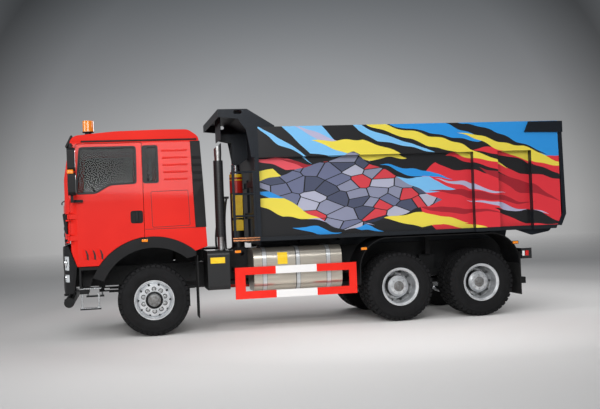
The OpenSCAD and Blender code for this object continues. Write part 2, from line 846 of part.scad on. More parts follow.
// Floor plate on sills and bearers, with the hinge lugs and pin.
module bed_floor() {
  sill_low = subframe_top + move_gap;
  rear = rear_x + 175;
  lug_y = beam_y - beam_w - move_gap;
  floor_y = wall_y - bed_plate;
  bearer_y = rail_y + 140;
  pitch = (wall_x - hinge_x - 340) / 6;
  color(slate) {
    translate([0, 0, bed_bottom]) linear_extrude(20) difference() {
      translate([rear, -floor_y]) square([wall_x - rear, 2 * floor_y]);
      translate([well_foot.x - bed_plate, -well_y - bed_plate]) square([400, 2 * (well_y + bed_plate)]);
    }
    both_sides() box([hinge_x + 120, beam_y - beam_w, sill_low], [wall_x - 60, beam_y, bed_bottom]);
    for (k = [0:5]) box([hinge_x + 200 + pitch * k, -bearer_y, bed_bottom - 60],
      [hinge_x + 270 + pitch * k, bearer_y, bed_bottom]);
    both_sides() box([hinge_x + 200 + pitch * 6, well_y + 2 * bed_plate, bed_bottom - 60],
      [hinge_x + 270 + pitch * 6, bearer_y, bed_bottom]);
    both_sides() across(lug_y - 40, lug_y) rounded([[hinge_x - 70, hinge_z - 70, 69],
      [hinge_x + 70, hinge_z - 70, 69],
      [hinge_x + 130, bed_bottom, 0], [hinge_x - 130, bed_bottom, 0]]);
    translate([hinge_x, 0, hinge_z]) facing(1) cylinder(h = 2 * (beam_y + 20), r = pin_r + 5, center = true);
    both_sides() across(floor_y - 30, floor_y) rounded([[hinge_x + 44, bed_bottom, 0],
      [hinge_x - 229, 1253, 40],
      [hinge_x - 536, 1305, 30], [hinge_x - 570, bed_bottom, 0]]);
  }
}

// Side walls with a boxed top rail and two boxed posts.
module bed_sides() {
  rear_edge = [[rear_x + 100, bed_top], [rear_x + 73, 1594], [rear_x + 182, bed_bottom]];
  rail_low_z = bed_top - top_rail;
  posts = [[ra - 358, ra + 58], [rear_x + 90, rear_x + 570]];
  color(slate) both_sides() difference() {
    union() {
      across(wall_y - bed_plate, wall_y) polygon([[wall_x, bed_bottom], [wall_x, bed_top], each rear_edge]);
      difference() {
        box([rear_x + 60, wall_y, rail_low_z], [wall_x, bed_y, bed_top]);
        box([rear_x + 50, wall_y - 1, rail_low_z + 10], [wall_x + 1, bed_y - 10, bed_top - 10]);
      }
      for (p = posts) difference() {
        box([p[0], wall_y, bed_bottom], [p[1], bed_y, rail_low_z]);
        box([p[0] + 10, wall_y - 1, bed_bottom - 1], [p[1] - 10, bed_y - 10, rail_low_z + 1]);
      }
      box([rear_x + 190, wall_y, bed_bottom], [wall_x, wall_y + 70, bed_bottom + 60]);
    }
    across(0, bed_y + 1) polygon([[rear_x, bed_top + 1], each rear_edge, [rear_x, bed_bottom - 1]]);
    translate([gate_hinge.x, bed_y, gate_hinge.y]) facing(1) cylinder(h = 60, r = 25 + fit, center = true);
  }
}

// Front wall with the hoist's pin, and a sloping well that makes room for the leaning hoist.
module bed_front() {
  post = [wall_x, wall_x + 64];
  color(slate) {
    along(wall_x, wall_x + bed_plate) difference() {
      translate([-wall_y, well_foot.y]) square([2 * wall_y, bed_top - well_foot.y]);
      translate([-well_y - 4, well_foot.y - 1]) square([2 * well_y + 8, well_top - 15 - well_foot.y]);
    }
    both_sides() box([post[0], wall_y - 20, bed_bottom], [post[1], bed_y, bed_top]);
    both_sides() for (z = [bed_bottom + 350, bed_bottom + 850])
      box([wall_x, well_y + 8, z], [wall_x + 60, wall_y, z + 90]);
    both_sides() across(76, 100) polygon([[wall_x, hoist_pin_z + 60], [hoist_x - 50, hoist_pin_z - 50],
      [hoist_x + 50, hoist_pin_z - 50], [hoist_x + 60, bed_top - 146], [hoist_x + 258, bed_top - 100],
      [hoist_x + 258, bed_top], [wall_x, bed_top]]);
    translate([hoist_x, 0, hoist_pin_z]) facing(1) cylinder(h = 230, r = pin_r, center = true);
    across(-well_y - 6, well_y + 6) polygon([well_foot, [wall_x + 6, well_top + 20], [wall_x + 6, well_top + 60],
      [well_foot.x - bed_plate, well_foot.y]]);
    both_sides() across(well_y, well_y + bed_plate) polygon([[well_foot.x - 6, well_foot.y + 2],
      [wall_x + 6, well_foot.y + 2], [wall_x + 6, well_top + 30]]);
  }
}

// Hood that reaches over the back of the cab.
module cab_shield() {
  tip = wall_x + 602;
  top = bed_top + 280;
  lip = 150;
  slope_x = [wall_x + 156, wall_x - 261];
  color(slate) {
    both_sides() across(bed_y - 16, bed_y) difference() {
      polygon([[tip, top], [slope_x[0], top], [slope_x[1], bed_top + 17], [slope_x[1], bed_top],
        [wall_x + 64, bed_top], [wall_x + 64, bed_top - 460], [wall_x + 110, bed_top - 460],
        [wall_x + 160, bed_top - 150], [wall_x + 180, bed_top - 40], [wall_x + 300, top - lip],
        [tip - 20, top - lip + 30], [tip, top - lip + 30]]);
      translate([wall_x + 300, top - 45]) round_rect([-65, -30], [65, 30], 29);
    }
    across(-bed_y + 16, bed_y - 16) polygon([[tip, top], [slope_x[0], top], [slope_x[1], bed_top + 17],
      [slope_x[1] + 10, bed_top + 7], [slope_x[0] + 4, top - 12], [tip - 12, top - 12],
      [tip - 12, top - lip + 30], [tip, top - lip + 30]]);
    across(-380, 380) polygon([[tip - 120, top - 12], [tip - 132, top - 12], [tip - 132, bed_top - 100],
      [hoist_x + 270, bed_top - 100], [hoist_x + 270, bed_top - 112], [tip - 120, bed_top - 112]]);
  }
}

// Ladder at the front corner of the bed.
module ladder() {
  stile = [wall_x + 64, wall_x + 423];
  y = [bed_y - 45, bed_y - 5];
  // Heights above the bed's underside are drawn for a bed 1750 high.
  rise = (bed_top - bed_bottom) / 1750;
  color(slate) {
    box([stile[0], y[0], bed_bottom - 5], [stile[0] + 40, y[1], bed_bottom + 1080 * rise]);
    box([stile[1] - 40, y[0], bed_bottom - 5], [stile[1], y[1], bed_bottom + 1180 * rise]);
    for (z = [40, 397, 731, 1066])
      translate([stile[0] + 20, (y[0] + y[1]) / 2, bed_bottom + z * rise]) rotate([0, 90, 0])
        cylinder(h = stile[1] - stile[0] - 40, r = 16);
  }
}

// Rear wall that hangs from two arms at the top.
module tailgate() {
  arm_y = [bed_y + move_gap, bed_y + 30];
  color(slate) {
    across(-bed_y, bed_y) polygon([[rear_x + 23, bed_top - 20], [rear_x, 1580], [rear_x + 86, 1392],
      [rear_x + 149, 1404], [rear_x + 64, 1594], [rear_x + 85, bed_top - 20]]);
    both_sides() across(arm_y[0], arm_y[1]) polygon([[rear_x + 20, bed_top - 7], [rear_x + 20, bed_top - 190],
      [rear_x + 684, bed_top - 175], [rear_x + 607, bed_top - 7]]);
    both_sides() box([rear_x + 24, bed_y - 30, bed_top - 190], [rear_x + 82, arm_y[1], bed_top - 20]);
    both_sides() translate([gate_hinge.x, bed_y - 8, gate_hinge.y]) facing(1) cylinder(h = 30, r = 25);
  }
}

// Hoist

// One tube of the hoist, with a tight collar at its upper end.
module hoist_sleeve(k, low, high) {
  r = hoist_radius - hoist_step * k;
  translate([hoist_x, 0, 0]) rotate_extrude() polygon([[r, low], [r, high], [r - hoist_step + fit, high],
    [r - hoist_step + fit, high - 60], [r - hoist_step + 5, high - 70], [r - hoist_step + 5, low]]);
}

// Outer tube with two pivots.
module hoist_tube() {
  color(red) {
    hoist_sleeve(0, hoist_z - 90, tube_top);
    translate([hoist_x, 0, hoist_z - 95]) cylinder(h = 30, r = hoist_radius);
    both_sides() translate([hoist_x, hoist_radius - 6, hoist_z]) facing(1) cylinder(h = 72, r = 40);
  }
}

// A sliding tube.
module hoist_stage(k) {
  color(silver) hoist_sleeve(k, hoist_z - 50 + 10 * k, tube_top + 40 * k);
}

// The innermost rod with a head below the pin.
module hoist_stage_3() {
  r = hoist_radius - hoist_step * 3;
  head = hoist_pin_z - pin_r - 0.3;
  color(silver) translate([hoist_x, 0, 0]) {
    translate([0, 0, hoist_z - 10]) cylinder(h = head - hoist_z - 20, r = r);
    translate([0, 0, head - 60]) cylinder(h = 60, r = r + 4);
  }
}

frame_rails();
crossmembers();
subframe();
front_axle();
drive_axles();
leaf_springs();
driveline();
cab_mounts();
bumper();
lamps();
front_underrun();
entry_steps();
fuel_tank();
side_guards();
exhaust();
battery_box();
rear_mudguards();
mudflaps();
rear_underrun();
cab_floor();
cab_back_panel();
cab_roof();
cab_front();
cab_sides();
cab_glass();
cab_mouldings();
dashboard();
seats();
door(1);  // door_left
door(-1);  // door_right
door_glass(1);  // door_glass_left
door_glass(-1);  // door_glass_right
mirror_unit(1);  // mirror_left
mirror_unit(-1);  // mirror_right
knuckle(1);  // knuckle_left
knuckle(-1);  // knuckle_right
front_wheel(1);  // front_wheel_left
front_wheel(-1);  // front_wheel_right
front_tyre(1);  // front_tyre_left
front_tyre(-1);  // front_tyre_right
twin_wheel(ma, 1);  // mid_wheel_left
twin_wheel(ma, -1);  // mid_wheel_right
twin_tyres(ma, 1);  // mid_tyres_left
twin_tyres(ma, -1);  // mid_tyres_right
twin_wheel(ra, 1);  // rear_wheel_left
twin_wheel(ra, -1);  // rear_wheel_right
twin_tyres(ra, 1);  // rear_tyres_left
twin_tyres(ra, -1);  // rear_tyres_right
bed_floor();
bed_sides();
bed_front();
cab_shield();
ladder();
tailgate();
hoist_tube();
hoist_stage(1);  // hoist_stage_1
hoist_stage(2);  // hoist_stage_2
hoist_stage_3();
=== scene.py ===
# Three-axle dump truck with a front-hoisted tipping bed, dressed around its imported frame.
import math

import bpy
from mathutils import Matrix, Vector


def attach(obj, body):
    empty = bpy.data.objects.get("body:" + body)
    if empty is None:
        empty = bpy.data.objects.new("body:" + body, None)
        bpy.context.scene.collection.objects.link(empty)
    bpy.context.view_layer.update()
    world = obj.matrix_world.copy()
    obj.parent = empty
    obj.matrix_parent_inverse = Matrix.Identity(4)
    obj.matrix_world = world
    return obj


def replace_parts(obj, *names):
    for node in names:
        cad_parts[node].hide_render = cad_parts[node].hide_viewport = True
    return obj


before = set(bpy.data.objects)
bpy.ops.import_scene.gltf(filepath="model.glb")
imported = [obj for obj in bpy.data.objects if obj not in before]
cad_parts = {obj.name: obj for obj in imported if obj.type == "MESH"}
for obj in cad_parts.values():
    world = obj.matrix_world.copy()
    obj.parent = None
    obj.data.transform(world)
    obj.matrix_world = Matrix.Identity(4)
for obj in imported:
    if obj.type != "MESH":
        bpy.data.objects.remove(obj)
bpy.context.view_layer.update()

# Studio: a wide pale floor that keeps the truck's soft shadow, with a painted pool of light round
# the truck, a grey backdrop that darkens upwards with a painted darker ring round the line of view,
# and soft light boxes. The camera stands at the truck's left, at the height of the door pulls.
scene = bpy.context.scene
scene.view_settings.view_transform = "Standard"
FLOOR_R = 70.0
ACROSS_VIEW = (-0.981, 0.192, 0.0)  # level, from left to right in the photograph
MIX, UNDER, OVER = 0, 6, 7  # sockets of a Mix node that lays one colour over another


def linear(code):
    """A colour written as sRGB hex, as linear red, green, blue and alpha."""
    parts = [int(code[i:i + 2], 16) / 255 for i in (1, 3, 5)]
    return [c / 12.92 if c <= 0.04045 else ((c + 0.055) / 1.055) ** 2.4 for c in parts] + [1.0]


def fill(node, inputs):
    """Sets a node's inputs: each takes a value, an output, or the first live output of a node."""
    for name, value in inputs.items():
        if isinstance(value, bpy.types.Node):
            value = next(each for each in value.outputs if each.enabled)
        if isinstance(value, bpy.types.NodeSocket):
            node.id_data.links.new(value, node.inputs[name])
        else:
            node.inputs[name].default_value = value


def add(tree, kind, inputs, stops=(), steps=False, **settings):
    """Adds a node with its settings and inputs; a colour ramp also takes its stops."""
    node = tree.nodes.new("ShaderNode" + kind)
    for name, value in settings.items():
        setattr(node, name, value)
    fill(node, inputs)
    for i, (place, code) in enumerate(stops):
        part = node.color_ramp.elements[i] if i < 2 else node.color_ramp.elements.new(place)
        part.position, part.color = place, linear(code)
    if steps:
        node.color_ramp.interpolation = "CONSTANT"
    return node


def begin(name):
    """A new material, its node tree, its shader and its Object coordinates."""
    made = bpy.data.materials.new(name)
    made.use_nodes = True
    spot = add(made.node_tree, "TexCoord", {})
    return made, made.node_tree, made.node_tree.nodes["Principled BSDF"], spot.outputs["Object"]


world = bpy.data.worlds.new("grey_studio")
scene.world = world
world.use_nodes = True
sky = world.node_tree
sky.nodes.clear()
way = add(sky, "TexCoord", {}).outputs["Generated"]
rise = add(sky, "SeparateXYZ", {"Vector": way}).outputs["Z"]
shade = add(sky, "ValToRGB", {"Fac": rise},
            stops=((0.0, "#C4C4C4"), (0.06, "#B4B5B6"), (0.14, "#96989B"), (0.24, "#6E7276"),
                   (0.6, "#4A4D52")))
# Painted shade: a darker ring is laid on the backdrop about 20 degrees off the level line of view,
# standing in for studio light falling off towards the corners of the view.
across = add(sky, "VectorMath", {0: way, 1: ACROSS_VIEW}, operation="DOT_PRODUCT")
seen_at = add(sky, "CombineXYZ", {"X": across, "Y": rise})
off_middle = add(sky, "VectorMath", {0: seen_at}, operation="LENGTH")
corners = add(sky, "ValToRGB", {"Fac": off_middle},
              stops=((0.16, "#FFFFFF"), (0.29, "#D4D4D4"), (0.355, "#8A8A8A"), (0.44, "#E6E6E6")))
backdrop_with_painted_shade = add(sky, "Mix", {MIX: 1.0, UNDER: shade, OVER: corners}, data_type="RGBA",
             blend_type="MULTIPLY")
seen = add(sky, "Background", {"Color": backdrop_with_painted_shade, "Strength": 1.0})
soft = add(sky, "Background", {"Color": linear("#F4F6FA"), "Strength": 0.36})
ray = add(sky, "LightPath", {}).outputs
glossy = add(sky, "Math", {0: ray["Is Camera Ray"], 1: ray["Is Glossy Ray"]}, operation="MAXIMUM")
clear = add(sky, "Math", {0: glossy, 1: ray["Is Transmission Ray"]}, operation="MAXIMUM")
mixed = add(sky, "MixShader", {0: clear, 1: soft, 2: seen})
add(sky, "OutputWorld", {"Surface": mixed})

bpy.ops.object.select_all(action="DESELECT")
bpy.ops.mesh.primitive_circle_add(vertices=96, radius=FLOOR_R, fill_type="NGON",
                                  location=(0, 0, -0.001))
floor = bpy.context.object
floor.name = "studio_floor"
# Painted studio floor: matt, with a painted pool of light brightest round the truck, fading to grey
# and then into the backdrop.
floor_paint, tree, shader, spot = begin("matt_floor_paint")
reach = add(tree, "Mapping", {"Vector": spot, "Location": (0.02, 0.02, 0),
                              "Scale": (1 / FLOOR_R, 1 / FLOOR_R, 1)})
far = add(tree, "VectorMath", {0: reach}, operation="LENGTH")
# Painted light: the colour is brightest within about 4 m of the truck, as a pool of light, and
# greys beyond about 7 m.
fade = add(tree, "ValToRGB", {"Fac": far},
           stops=((0.0, "#F6F4F2"), (0.055, "#F0EEEC"), (0.095, "#BDBCBB"), (0.16, "#ACACAC"),
                  (0.9, "#B4B4B4")))
fill(shader, {"Base Color": fade, "Roughness": 0.85, "Specular IOR Level": 0.15})
gone = add(tree, "MapRange", {"Value": far, "From Min": 0.10, "From Max": 0.55})
open_air = add(tree, "BsdfTransparent", {})
cove = add(tree, "MixShader", {0: gone, 1: shader, 2: open_air})
fill(tree.nodes["Material Output"], {"Surface": cove})
floor.data.materials.append(floor_paint)

# Each light box: its place, the point it faces, width and depth in metres, power in watts.
for name, place, aim, wide, deep, power in (
        ("overhead_box", (0.8, 2.2, 8.0), (0.2, 0.2, 1.5), 10.0, 4.5, 95),
        ("camera_side_box", (4.0, 12.0, 6.0), (0.3, 0.5, 1.6), 8.0, 4.0, 860),
        ("front_box", (11.0, 3.0, 4.0), (3.5, 0.5, 1.6), 4.0, 3.5, 230),
        ("floor_wash", (0.6, 4.4, 2.5), (0.6, 4.7, 0.0), 7.0, 0.8, 58),
        ("rear_box", (-11.5, 1.5, 4.5), (-3.5, 0.0, 1.8), 4.0, 3.0, 170),
        ("far_side_box", (-3.0, -11.5, 5.5), (0.0, 0.0, 1.6), 8.0, 4.0, 420)):
    bpy.ops.object.light_add(type="AREA", location=place)
    box = bpy.context.object
    box.name = name
    box.data.shape, box.data.energy = "RECTANGLE", power
    box.data.size, box.data.size_y = wide, deep
    box.rotation_euler = (Vector(aim) - Vector(place)).to_track_quat("-Z", "Y").to_euler()

# The camera's place and turn were fitted to the wheel centres in the photograph.
CAMERA_AT, LENS, FILM_WIDTH = (3.0935, 15.0585, 1.7474), 54.92, 36.0
YAW, PITCH, ROLL = math.radians(11.08), math.radians(0.58), math.radians(-2.28)
bpy.ops.object.camera_add()
camera = bpy.context.object
camera.name = "photo_camera"
ahead = Vector((-math.sin(YAW) * math.cos(PITCH), -math.cos(YAW) * math.cos(PITCH),
                math.sin(PITCH)))
level = Vector((-math.cos(YAW), math.sin(YAW), 0))
upright = level.cross(ahead)
right = level * math.cos(ROLL) + upright * math.sin(ROLL)
top = upright * math.cos(ROLL) - level * math.sin(ROLL)
view_turn = Matrix((right, top, -ahead)).transposed().to_4x4()
camera.matrix_world = Matrix.Translation(CAMERA_AT) @ view_turn
camera.data.lens, camera.data.sensor_width, camera.data.sensor_fit = LENS, FILM_WIDTH, "HORIZONTAL"
scene.camera = camera


# Chassis: two pressed channel rails with cross members, the tipping subframe, springs, underrun
# tubes and cab posts. Rolled steel plate, riveted and bolted, sprayed satin black, a little dusty.
def coat(material, *names):
    """Gives CAD nodes a material in their own slots."""
    for name in names:
        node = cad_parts[name]
        if not node.material_slots:
            node.data.materials.append(material)
        for each in node.material_slots:
            each.material = material


# Satin chassis paint: black and even, dulled by pale dust in patches of 200 mm. The grit of 2.4 mm
# is drawn coarser than it is, so that it shows.
chassis_black, tree, shader, spot = begin("satin_chassis_paint")
dust = add(tree, "TexNoise", {"Vector": spot, "Scale": 5.0, "Detail": 6.0, "Roughness": 0.6})
tone = add(tree, "ValToRGB", {"Fac": dust}, stops=((0.35, "#0B0C0D"), (0.75, "#17181A")))
dull = add(tree, "MapRange", {"Value": dust, "To Min": 0.36, "To Max": 0.62})
grit = add(tree, "TexNoise", {"Vector": spot, "Scale": 420.0, "Detail": 2.0})
skin = add(tree, "Bump", {"Strength": 0.08, "Distance": 0.001, "Height": grit})
fill(shader, {"Base Color": tone, "Roughness": dull, "Specular IOR Level": 0.3, "Normal": skin})
coat(chassis_black, "frame_rails", "crossmembers", "subframe", "leaf_springs", "cab_mounts",
     "front_underrun", "rear_underrun", "battery_box")

# Painted castings: sand-cast iron under thin grey paint, rough with a grain of 8 mm, and darker
# where grime has gathered in patches of 140 mm.
cast_grey, tree, shader, spot = begin("painted_cast_iron")
sand = add(tree, "TexNoise", {"Vector": spot, "Scale": 130.0, "Detail": 5.0, "Roughness": 0.7})
grime = add(tree, "TexNoise", {"Vector": spot, "Scale": 7.0, "Detail": 4.0})
tone = add(tree, "ValToRGB", {"Fac": grime}, stops=((0.3, "#141517"), (0.7, "#28292B")))
skin = add(tree, "Bump", {"Strength": 0.35, "Distance": 0.002, "Height": sand})
fill(shader, {"Base Color": tone, "Roughness": 0.62, "Normal": skin})
coat(cast_grey, "front_axle", "drive_axles", "driveline", "knuckle_left", "knuckle_right")


def settle():
    """Puts the active piece's place, turn and size into its mesh."""
    bpy.ops.object.transform_apply(location=True, rotation=True, scale=True)


def soften(width, steps=2):
    """Bevels the sharp edges of the active piece."""
    edge = bpy.context.object.modifiers.new("soft_edge", "BEVEL")
    edge.width, edge.segments = width, steps
    edge.limit_method, edge.angle_limit = "ANGLE", math.radians(30)
    bpy.ops.object.modifier_apply(modifier=edge.name)


def stud(sides, radius, depth, at, soft):
    """A round or hexagonal bar along Y with its rims softened."""
    bpy.ops.object.select_all(action="DESELECT")
    bpy.ops.mesh.primitive_cylinder_add(vertices=sides, radius=radius, depth=depth, location=at,
                                        rotation=(math.pi / 2, 0, 0))
    settle()
    soften(soft, 1)
    return bpy.context.object


def merge(*pieces):
    """Joins pieces into the first, left active."""
    bpy.ops.object.select_all(action="DESELECT")
    for piece in pieces:
        piece.select_set(True)
    bpy.context.view_layer.objects.active = pieces[0]
    if len(pieces) > 1:
        bpy.ops.object.join()
    return bpy.context.object


def copy_of(piece):
    """A copy of a piece with its own mesh, left active."""
    merge(piece)
    bpy.ops.object.duplicate()
    return bpy.context.object


def repeat(piece, shifts):
    """Copies a piece to further places and joins the copies to it."""
    copies = [piece]
    for shift in shifts:
        copies.append(copy_of(piece))
        bpy.context.object.location = shift
        settle()
    return merge(*copies)


def edit_all(*steps):
    """Runs each step in edit mode on the whole of the active mesh."""
    bpy.ops.object.mode_set(mode="EDIT")
    for step in steps:
        bpy.ops.mesh.select_all(action="SELECT")
        step()
    bpy.ops.object.mode_set(mode="OBJECT")


def face_out():
    """Turns the selected faces outwards."""
    bpy.ops.mesh.normals_make_consistent(inside=False)


def keep(name, body, material, both=False):
    """Names the active piece and gives it a body and a material.

    With both, a mirror image goes on the other side; {} in the body's name is left or right there.
    """
    piece = bpy.context.object
    settle()
    piece.data.materials.clear()
    piece.data.materials.append(material)
    made = [(piece, "left")]
    if both:
        mirrored = copy_of(piece)
        mirrored.scale[1] = -1
        settle()
        edit_all(face_out)
        made.append((mirrored, "right"))
    for each, side in made:
        each.name = each.data.name = name + "." + side if both else name
        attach(each, body.format(side))
        each.select_set(False)
    return [each for each, side in made]


# Bolts along the rails: hexagon heads in two rows on each web, where brackets and cross members
# fasten. Forged steel under the chassis paint, modelled once and copied along the rail.
BOLT_R, BOLTS, BOLT_PITCH = 0.014, 84, 0.16
ROW_BACK, ROW_DROP = 0.05, 0.14
bolt = stud(6, BOLT_R, BOLT_R, (3.70, 0.431, 0.985), 0.003)
repeat(bolt, [(-BOLT_PITCH * (k // 2) - ROW_BACK * (k % 2), 0, -ROW_DROP * (k % 2))
              for k in range(1, BOLTS)])
keep("rail_bolts", "chassis", chassis_black, both=True)

# Tyres: ten radial truck tyres of black rubber with open shoulder lugs and rows of tread blocks.
# Each is a spun carcass; the blocks, moulded to it, are modelled once and repeated round it.
TREAD_R, LUGS = 0.5392, 40
LUG_FOOT, FOOT_FLARE = 0.52, 1.12
EDGE_FROM, EDGE_DROP = 0.12, 0.008
BLOCK_SLANT, BLOCK_MIDDLE, BLOCK_STAGGER = 0.35, 0.044, 0.042
TWIN_OFFSET = 0.168


def block(low, high, soft=0.0, steps=2):
    """A box between two corners with its edges softened."""
    bpy.ops.object.select_all(action="DESELECT")
    middle = [(a + b) / 2 for a, b in zip(low, high)]
    size = [b - a for a, b in zip(low, high)]
    bpy.ops.mesh.primitive_cube_add(size=1.0, location=middle, scale=size)
    settle()
    if soft:
        soften(soft, steps)
    return bpy.context.object


def turned(profile, steps, at=(0, 0, 0), turn=(0, 0, 0)):
    """Spins a closed half section of (radius, along Y) points about Y, turns it and moves it."""
    bpy.ops.object.select_all(action="DESELECT")
    bpy.ops.mesh.primitive_circle_add(vertices=len(profile), fill_type="NOTHING")
    made = bpy.context.object
    for vert, (radius, along) in zip(made.data.vertices, profile):
        vert.co = (radius, along, 0)
    edit_all(lambda: bpy.ops.mesh.spin(steps=steps, angle=math.tau, center=(0, 0, 0),
                                       axis=(0, 1, 0)),
             lambda: bpy.ops.mesh.remove_doubles(threshold=0.00002),
             lambda: bpy.ops.mesh.delete_loose(use_verts=True, use_edges=True, use_faces=False),
             face_out)
    made.rotation_euler, made.location = turn, at
    settle()
    bpy.ops.object.shade_smooth_by_angle(angle=math.radians(35))
    return made


def ring_of(count):
    """Repeats the active mesh round the wheel's axis."""
    edit_all(lambda: bpy.ops.mesh.spin(steps=count - 1, angle=math.tau * (count - 1) / count,
                                       dupli=True, center=(0, 0, 0), axis=(0, 1, 0)))


def mould(piece, change):
    """Moves each vertex of a piece by a function of its place."""
    for vert in piece.data.vertices:
        vert.co = change(vert.co.copy())
    piece.data.update()


def laid_round(x, y, z):
    """A point of a tread block, dropped to the tyre's round."""
    return Vector((x, y, math.sqrt(z ** 2 - x ** 2)))


def shoulder_form(p):
    """A shoulder lug's flared foot and sloping outer edge."""
    on_top = p.z > LUG_FOOT
    drop = EDGE_DROP if on_top and p.y > EDGE_FROM else 0
    return laid_round(p.x * (1.0 if on_top else FOOT_FLARE), p.y - drop, p.z - drop)


def block_form(p):
    """An inner tread block's slant, half a pitch behind the shoulder lug."""
    return laid_round(p.x + BLOCK_SLANT * (p.y - BLOCK_MIDDLE) + BLOCK_STAGGER, p.y, p.z)


half = [(0.2725, 0.117), (0.303, 0.129), (0.318, 0.1405), (0.333, 0.1452), (0.340, 0.1432),
        (0.347, 0.1467), (0.395, 0.1495), (0.432, 0.1490), (0.438, 0.1462), (0.446, 0.1470),
        (0.474, 0.1425), (0.500, 0.1330), (0.516, 0.1180), (0.521, 0.090), (0.522, 0.045)]
carcass = turned([(r, -y) for r, y in half] + [(0.5225, 0.0)] + half[::-1], 80)
shoulder = block((-0.029, 0.088, 0.488), (0.029, 0.1475, TREAD_R))
mould(shoulder, shoulder_form)
soften(0.004, 1)
ring_of(LUGS)
inner = block((-0.033, 0.010, 0.510), (0.033, 0.078, TREAD_R))
mould(inner, block_form)
soften(0.003, 1)
ring_of(LUGS)
tread = merge(shoulder, inner)
other_half = copy_of(tread)
other_half.rotation_euler[2] = math.pi
settle()
tyre = merge(carcass, tread, other_half)
outer_twin = copy_of(tyre)
outer_twin.location = (0, TWIN_OFFSET, 0)
inner_twin = copy_of(tyre)
inner_twin.location = (0, -TWIN_OFFSET, 0)
twin_tyres = merge(outer_twin, inner_twin)
settle()

# Tyre rubber: carbon-black rubber as it leaves the mould, matt, with a faint grey bloom in patches
# of 110 mm. The pores of 3.3 mm are drawn coarser than they are.
tyre_rubber, tree, shader, spot = begin("moulded_tyre_rubber")
bloom = add(tree, "TexNoise", {"Vector": spot, "Scale": 9.0, "Detail": 5.0, "Roughness": 0.65})
tone = add(tree, "ValToRGB", {"Fac": bloom}, stops=((0.3, "#0D0D0E"), (0.75, "#18181A")))
pores = add(tree, "TexNoise", {"Vector": spot, "Scale": 300.0, "Detail": 3.0})
skin = add(tree, "Bump", {"Strength": 0.12, "Distance": 0.001, "Height": pores})
fill(shader, {"Base Color": tone, "Roughness": 0.74, "Specular IOR Level": 0.25, "Normal": skin})

FRONT_X, MID_X, REAR_X, AXLE_Z = 2.650, -1.175, -2.525, 0.540
FRONT_Y, TWIN_Y = 1.010, 0.915
WHEELS = (("front_left", tyre, "front_left_wheel", "front_tyre_left", FRONT_X, FRONT_Y),
          ("front_right", tyre, "front_right_wheel", "front_tyre_right", FRONT_X, -FRONT_Y),
          ("mid_left", twin_tyres, "mid_left_wheels", "mid_tyres_left", MID_X, TWIN_Y),
          ("mid_right", twin_tyres, "mid_right_wheels", "mid_tyres_right", MID_X, -TWIN_Y),
          ("rear_left", twin_tyres, "rear_left_wheels", "rear_tyres_left", REAR_X, TWIN_Y),
          ("rear_right", twin_tyres, "rear_right_wheels", "rear_tyres_right", REAR_X, -TWIN_Y))


def stamp(model, name, body, material, x, y):
    """A copy of a wheel piece at one wheel, turned to face outwards there."""
    copy = copy_of(model)
    copy.location = (x, y, AXLE_Z)
    copy.rotation_euler[2] = 0 if y > 0 else math.pi
    return keep(name, body, material)[0]


for name, model, body, node, x, y in WHEELS:
    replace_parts(stamp(model, "tyre." + name, body, tyre_rubber, x, y), node)

# Wheels: pressed steel discs in silver paint on ten studs, with hexagon nuts and washers, a black
# ring round the hub and a grey cast cap. The nuts are modelled once and repeated round the circle.
# Silver wheel paint: aluminium flake of 1 mm in lacquer, half bright, dusty in patches of 90 mm.
wheel_silver, tree, shader, spot = begin("silver_wheel_paint")
patch = add(tree, "TexNoise", {"Vector": spot, "Scale": 11.0, "Detail": 4.0})
tone = add(tree, "ValToRGB", {"Fac": patch}, stops=((0.3, "#C6C9CC"), (0.7, "#E4E6E8")))
flake = add(tree, "TexNoise", {"Vector": spot, "Scale": 900.0, "Detail": 1.0})
skin = add(tree, "Bump", {"Strength": 0.05, "Distance": 0.001, "Height": flake})
fill(shader, {"Base Color": tone, "Metallic": 0.6, "Roughness": 0.3, "Normal": skin})
coat(wheel_silver, "front_wheel_left", "front_wheel_right", "mid_wheel_left", "mid_wheel_right",
     "rear_wheel_left", "rear_wheel_right")
# Hub paint: plain mid grey over cast iron, warmed by rust-brown dust in spots of 40 mm.
hub_grey, tree, shader, spot = begin("grey_hub_paint")
dirt = add(tree, "TexNoise", {"Vector": spot, "Scale": 26.0, "Detail": 5.0})
tone = add(tree, "ValToRGB", {"Fac": dirt}, stops=((0.3, "#5E5A55"), (0.7, "#8A8B8C")))
skin = add(tree, "Bump", {"Strength": 0.2, "Distance": 0.002, "Height": dirt})
fill(shader, {"Base Color": tone, "Metallic": 0.3, "Roughness": 0.5, "Normal": skin})
# Zinc plate: bright grey with blotches of 17 mm where the bath dried.
zinc, tree, shader, spot = begin("zinc_plated_steel")
blot = add(tree, "TexNoise", {"Vector": spot, "Scale": 60.0, "Detail": 3.0})
tone = add(tree, "ValToRGB", {"Fac": blot}, stops=((0.35, "#B4B6B8"), (0.7, "#DADBDA")))
fill(shader, {"Base Color": tone, "Metallic": 1.0, "Roughness": 0.34})

STUDS, STUD_CIRCLE, NUT_R = 10, 0.1675, 0.0185
TWIN_STUD_CIRCLE, HUB_BOLTS, HUB_BOLT_CIRCLE, HUB_BOLT_R = 0.1865, 8, 0.108, 0.010


def nut_ring(radius, face, count, size):
    """Nuts with washers on studs, on a circle about Y whose face is at a place along Y."""
    nut = stud(6, size, size * 1.3, (0, face + size * 0.85, radius), size * 0.16)
    washer = stud(20, size * 1.32, size * 0.4, (0, face + size * 0.18, radius), size * 0.1)
    thread = stud(12, size * 0.5, size * 0.5, (0, face + size * 1.7, radius), size * 0.12)
    made = merge(nut, washer, thread)
    ring_of(count)
    return made


